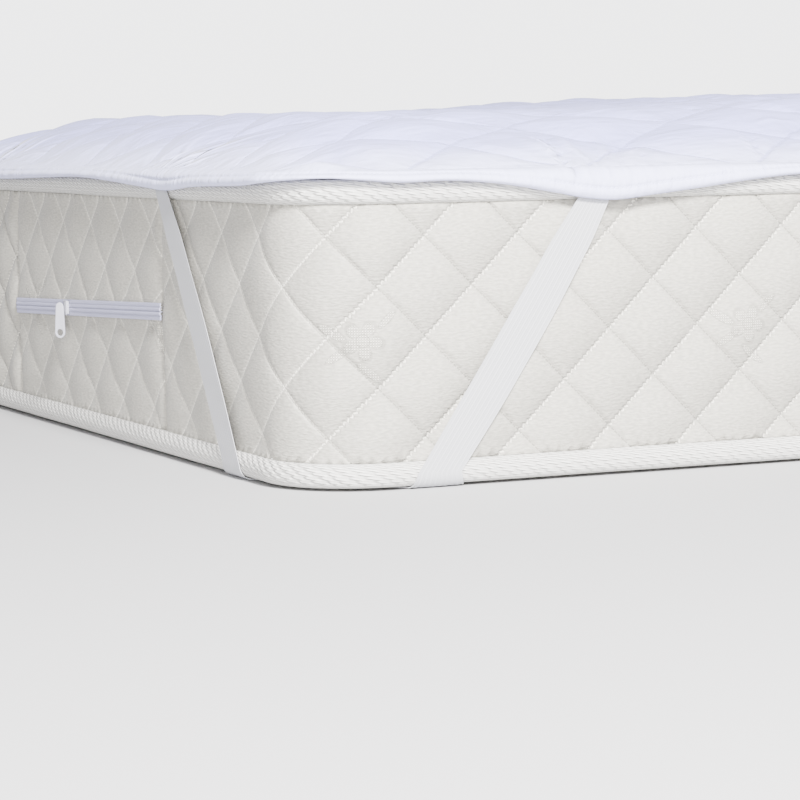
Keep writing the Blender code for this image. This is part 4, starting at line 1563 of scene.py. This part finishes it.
def zip_tape_finish():
    """Woven tape with lengthwise bands, and the fine turns of the coil along its middle."""
    colour = bpy.context.scene.protector_zip.tape_colour
    finish = Finish("zip_tape_weave", 0.6, sheen_weight=0.1)
    run, z, _ = finish.attribute("thread")
    coil = z.size().step(2.7 * MM, 3.0 * MM, 1, 0)
    turns = (run * (2 * math.pi / (1.4 * MM)) + z.size() * 700).sine()
    bands = (z * (2 * math.pi / (1.1 * MM))).sine()
    weave = (run * (2 * math.pi / (0.9 * MM))).sine()
    finish.relief(coil * turns * 0.22 * MM + (1 - coil) * (bands * 0.06 * MM + weave * 0.03 * MM))
    line = (z.size() - 3.0 * MM).size().low(z.size() * 0.6).step(0.1 * MM, 0.5 * MM, 1, 0)
    dark = line * 0.6 + (1 - coil) * (bands * 0.08 + 0.08)
    finish.paint(finish.blend(dark, colour, shade(colour, 0.6)))
    return finish


def plastic_finish():
    """Moulded plastic with a faint satin grain."""
    colour = bpy.context.scene.protector_zip.plastic_colour
    finish = Finish("zip_slider_plastic", 0.35, coat_weight=0.15)
    place = finish.place()
    finish.relief(finish.grain(place, 500) * 0.05 * MM)
    finish.paint(finish.blend(finish.grain(place, 120) + 0.5, colour, shade(colour, 0.93)))
    return finish


class PROTECTOR_OT_zip(bpy.types.Operator):
    """Makes the zip in the head end: its tape, slider and pull tab"""

    bl_idname = "protector.zip"
    bl_label = "Zip"

    def execute(self, context):
        plastic = plastic_finish()
        for name, node, mesh, finish in (
            ("zip_band", "zip_tape", zip_tape_mesh(), zip_tape_finish()),
            ("slider", "zip_slider", slider_mesh(), plastic),
            ("pull_tab", "zip_pull_tab", tab_mesh(), plastic),
        ):
            piece = add_piece(name, mesh, finish)
            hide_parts(node)
        return {"FINISHED"}


# The stage: a round floor, two soft lights that face the near corner, and the camera

FLOOR_RADIUS = 14
SOFTBOX_COLOUR = (1, 0.985, 0.965)
SURROUND_COLOUR = (0.86, 0.90, 1)
BACKDROP_COLOUR = (0.985, 0.985, 1)
NEAR_CORNER = Vector((-0.6, -0.4, 0.15))
KEY_PLACE, KEY_SIZE = Vector((-1.15, -2.50, 1.75)), 0.6
SIDE_PLACE, SIDE_SIZE = Vector((-3.00, -3.90, 1.00)), 1.5
CAMERA_PLACE = Vector((-1.612, -2.041, 0.2257))
CAMERA_LENS = 127.305
CAMERA_TURN, CAMERA_FALL, CAMERA_ROLL = (math.radians(angle) for angle in (24.56, 5.53, -0.72))


def add_light(name, place, size, power):
    """A square softbox that faces the near corner."""
    light = bpy.data.lights.new(name, "AREA")
    light.shape = "SQUARE"
    light.size = size
    light.energy = power
    light.color = SOFTBOX_COLOUR
    obj = bpy.data.objects.new(name, light)
    turn = (NEAR_CORNER - place).to_track_quat("-Z", "Y")
    obj.matrix_world = Matrix.Translation(place) @ turn.to_matrix().to_4x4()
    bpy.context.scene.collection.objects.link(obj)


def add_camera():
    """The camera: low and near, looking across the head front corner."""
    level = math.cos(CAMERA_FALL)
    forward = Vector((math.sin(CAMERA_TURN) * level, math.cos(CAMERA_TURN) * level, -math.sin(CAMERA_FALL)))
    right = Vector((math.cos(CAMERA_TURN), -math.sin(CAMERA_TURN), 0))
    up = right.cross(forward)
    right, up = (
        math.cos(CAMERA_ROLL) * right + math.sin(CAMERA_ROLL) * up,
        math.cos(CAMERA_ROLL) * up - math.sin(CAMERA_ROLL) * right,
    )
    camera = bpy.data.cameras.new("camera")
    camera.lens = CAMERA_LENS
    camera.sensor_width = 36
    camera.clip_end = 100
    obj = bpy.data.objects.new("camera", camera)
    place = Matrix((right, up, -forward)).transposed().to_4x4()
    place.translation = CAMERA_PLACE
    obj.matrix_world = place
    bpy.context.scene.collection.objects.link(obj)
    bpy.context.scene.camera = obj


def add_surround(surround, backdrop):
    """Soft light from all sides, and the plain backdrop that the camera sees instead of it."""
    world = bpy.data.worlds.new("studio")
    bpy.context.scene.world = world
    world.use_nodes = True
    tree = world.node_tree
    soft = tree.nodes["Background"]
    behind = tree.nodes.new("ShaderNodeBackground")
    for node, colour, strength in ((soft, SURROUND_COLOUR, surround), (behind, BACKDROP_COLOUR, backdrop)):
        node.inputs["Color"].default_value = (*colour, 1)
        node.inputs["Strength"].default_value = strength
    seen = tree.nodes.new("ShaderNodeLightPath")
    mixed = tree.nodes.new("ShaderNodeMixShader")
    for socket, target in (
        (seen.outputs["Is Camera Ray"], mixed.inputs[0]), (soft.outputs[0], mixed.inputs[1]),
        (behind.outputs[0], mixed.inputs[2]), (mixed.outputs[0], tree.nodes["World Output"].inputs[0]),
    ):
        tree.links.new(socket, target)


class PROTECTOR_OT_stage(bpy.types.Operator):
    """Makes the floor, the soft lights and the camera"""

    bl_idname = "protector.stage"
    bl_label = "Floor, lights and camera"

    def execute(self, context):
        settings = context.scene.protector_stage
        finish = Finish("stage_paper", 0.9)
        finish.paint(settings.floor_colour)
        bm = bmesh.new()
        bmesh.ops.create_circle(bm, cap_ends=True, segments=64, radius=FLOOR_RADIUS)
        new_object("floor", bm, finish)
        add_surround(settings.surround, settings.backdrop)
        add_light("key", KEY_PLACE, KEY_SIZE, settings.key_power)
        add_light("side", SIDE_PLACE, SIDE_SIZE, settings.side_power)
        add_camera()
        return {"FINISHED"}


# Every operator in the order of its call, with the name and the class of its settings
PARTS = (
    (PROTECTOR_OT_pad, "protector_pad", ProtectorPadSettings),
    (PROTECTOR_OT_straps, "protector_straps", ProtectorStrapSettings),
    (PROTECTOR_OT_mattress, "protector_mattress", ProtectorMattressSettings),
    (PROTECTOR_OT_zip, "protector_zip", ProtectorZipSettings),
    (PROTECTOR_OT_stage, "protector_stage", ProtectorStageSettings),
)


class PROTECTOR_PT_panel(bpy.types.Panel):
    """The protector's operators and its sizes and colours"""

    bl_idname = "PROTECTOR_PT_panel"
    bl_label = "Mattress protector"
    bl_space_type = "VIEW_3D"
    bl_region_type = "UI"
    bl_category = "Protector"

    def draw(self, context):
        for operator, name, group in PARTS:
            box = self.layout.box()
            box.operator(operator.bl_idname)
            for setting in group.__annotations__:
                box.prop(getattr(context.scene, name), setting)


def register():
    for operator, name, group in PARTS:
        bpy.utils.register_class(group)
        setattr(bpy.types.Scene, name, PointerProperty(type=group))
        bpy.utils.register_class(operator)
    bpy.utils.register_class(PROTECTOR_PT_panel)


def unregister():
    bpy.utils.unregister_class(PROTECTOR_PT_panel)
    for operator, name, group in reversed(PARTS):
        bpy.utils.unregister_class(operator)
        delattr(bpy.types.Scene, name)
        bpy.utils.unregister_class(group)


def main():
    register()
    bpy.ops.protector.pad()
    bpy.ops.protector.straps()
    bpy.ops.protector.mattress()
    bpy.ops.protector.zip()
    bpy.ops.protector.stage()


if __name__ == "__main__":
    main()
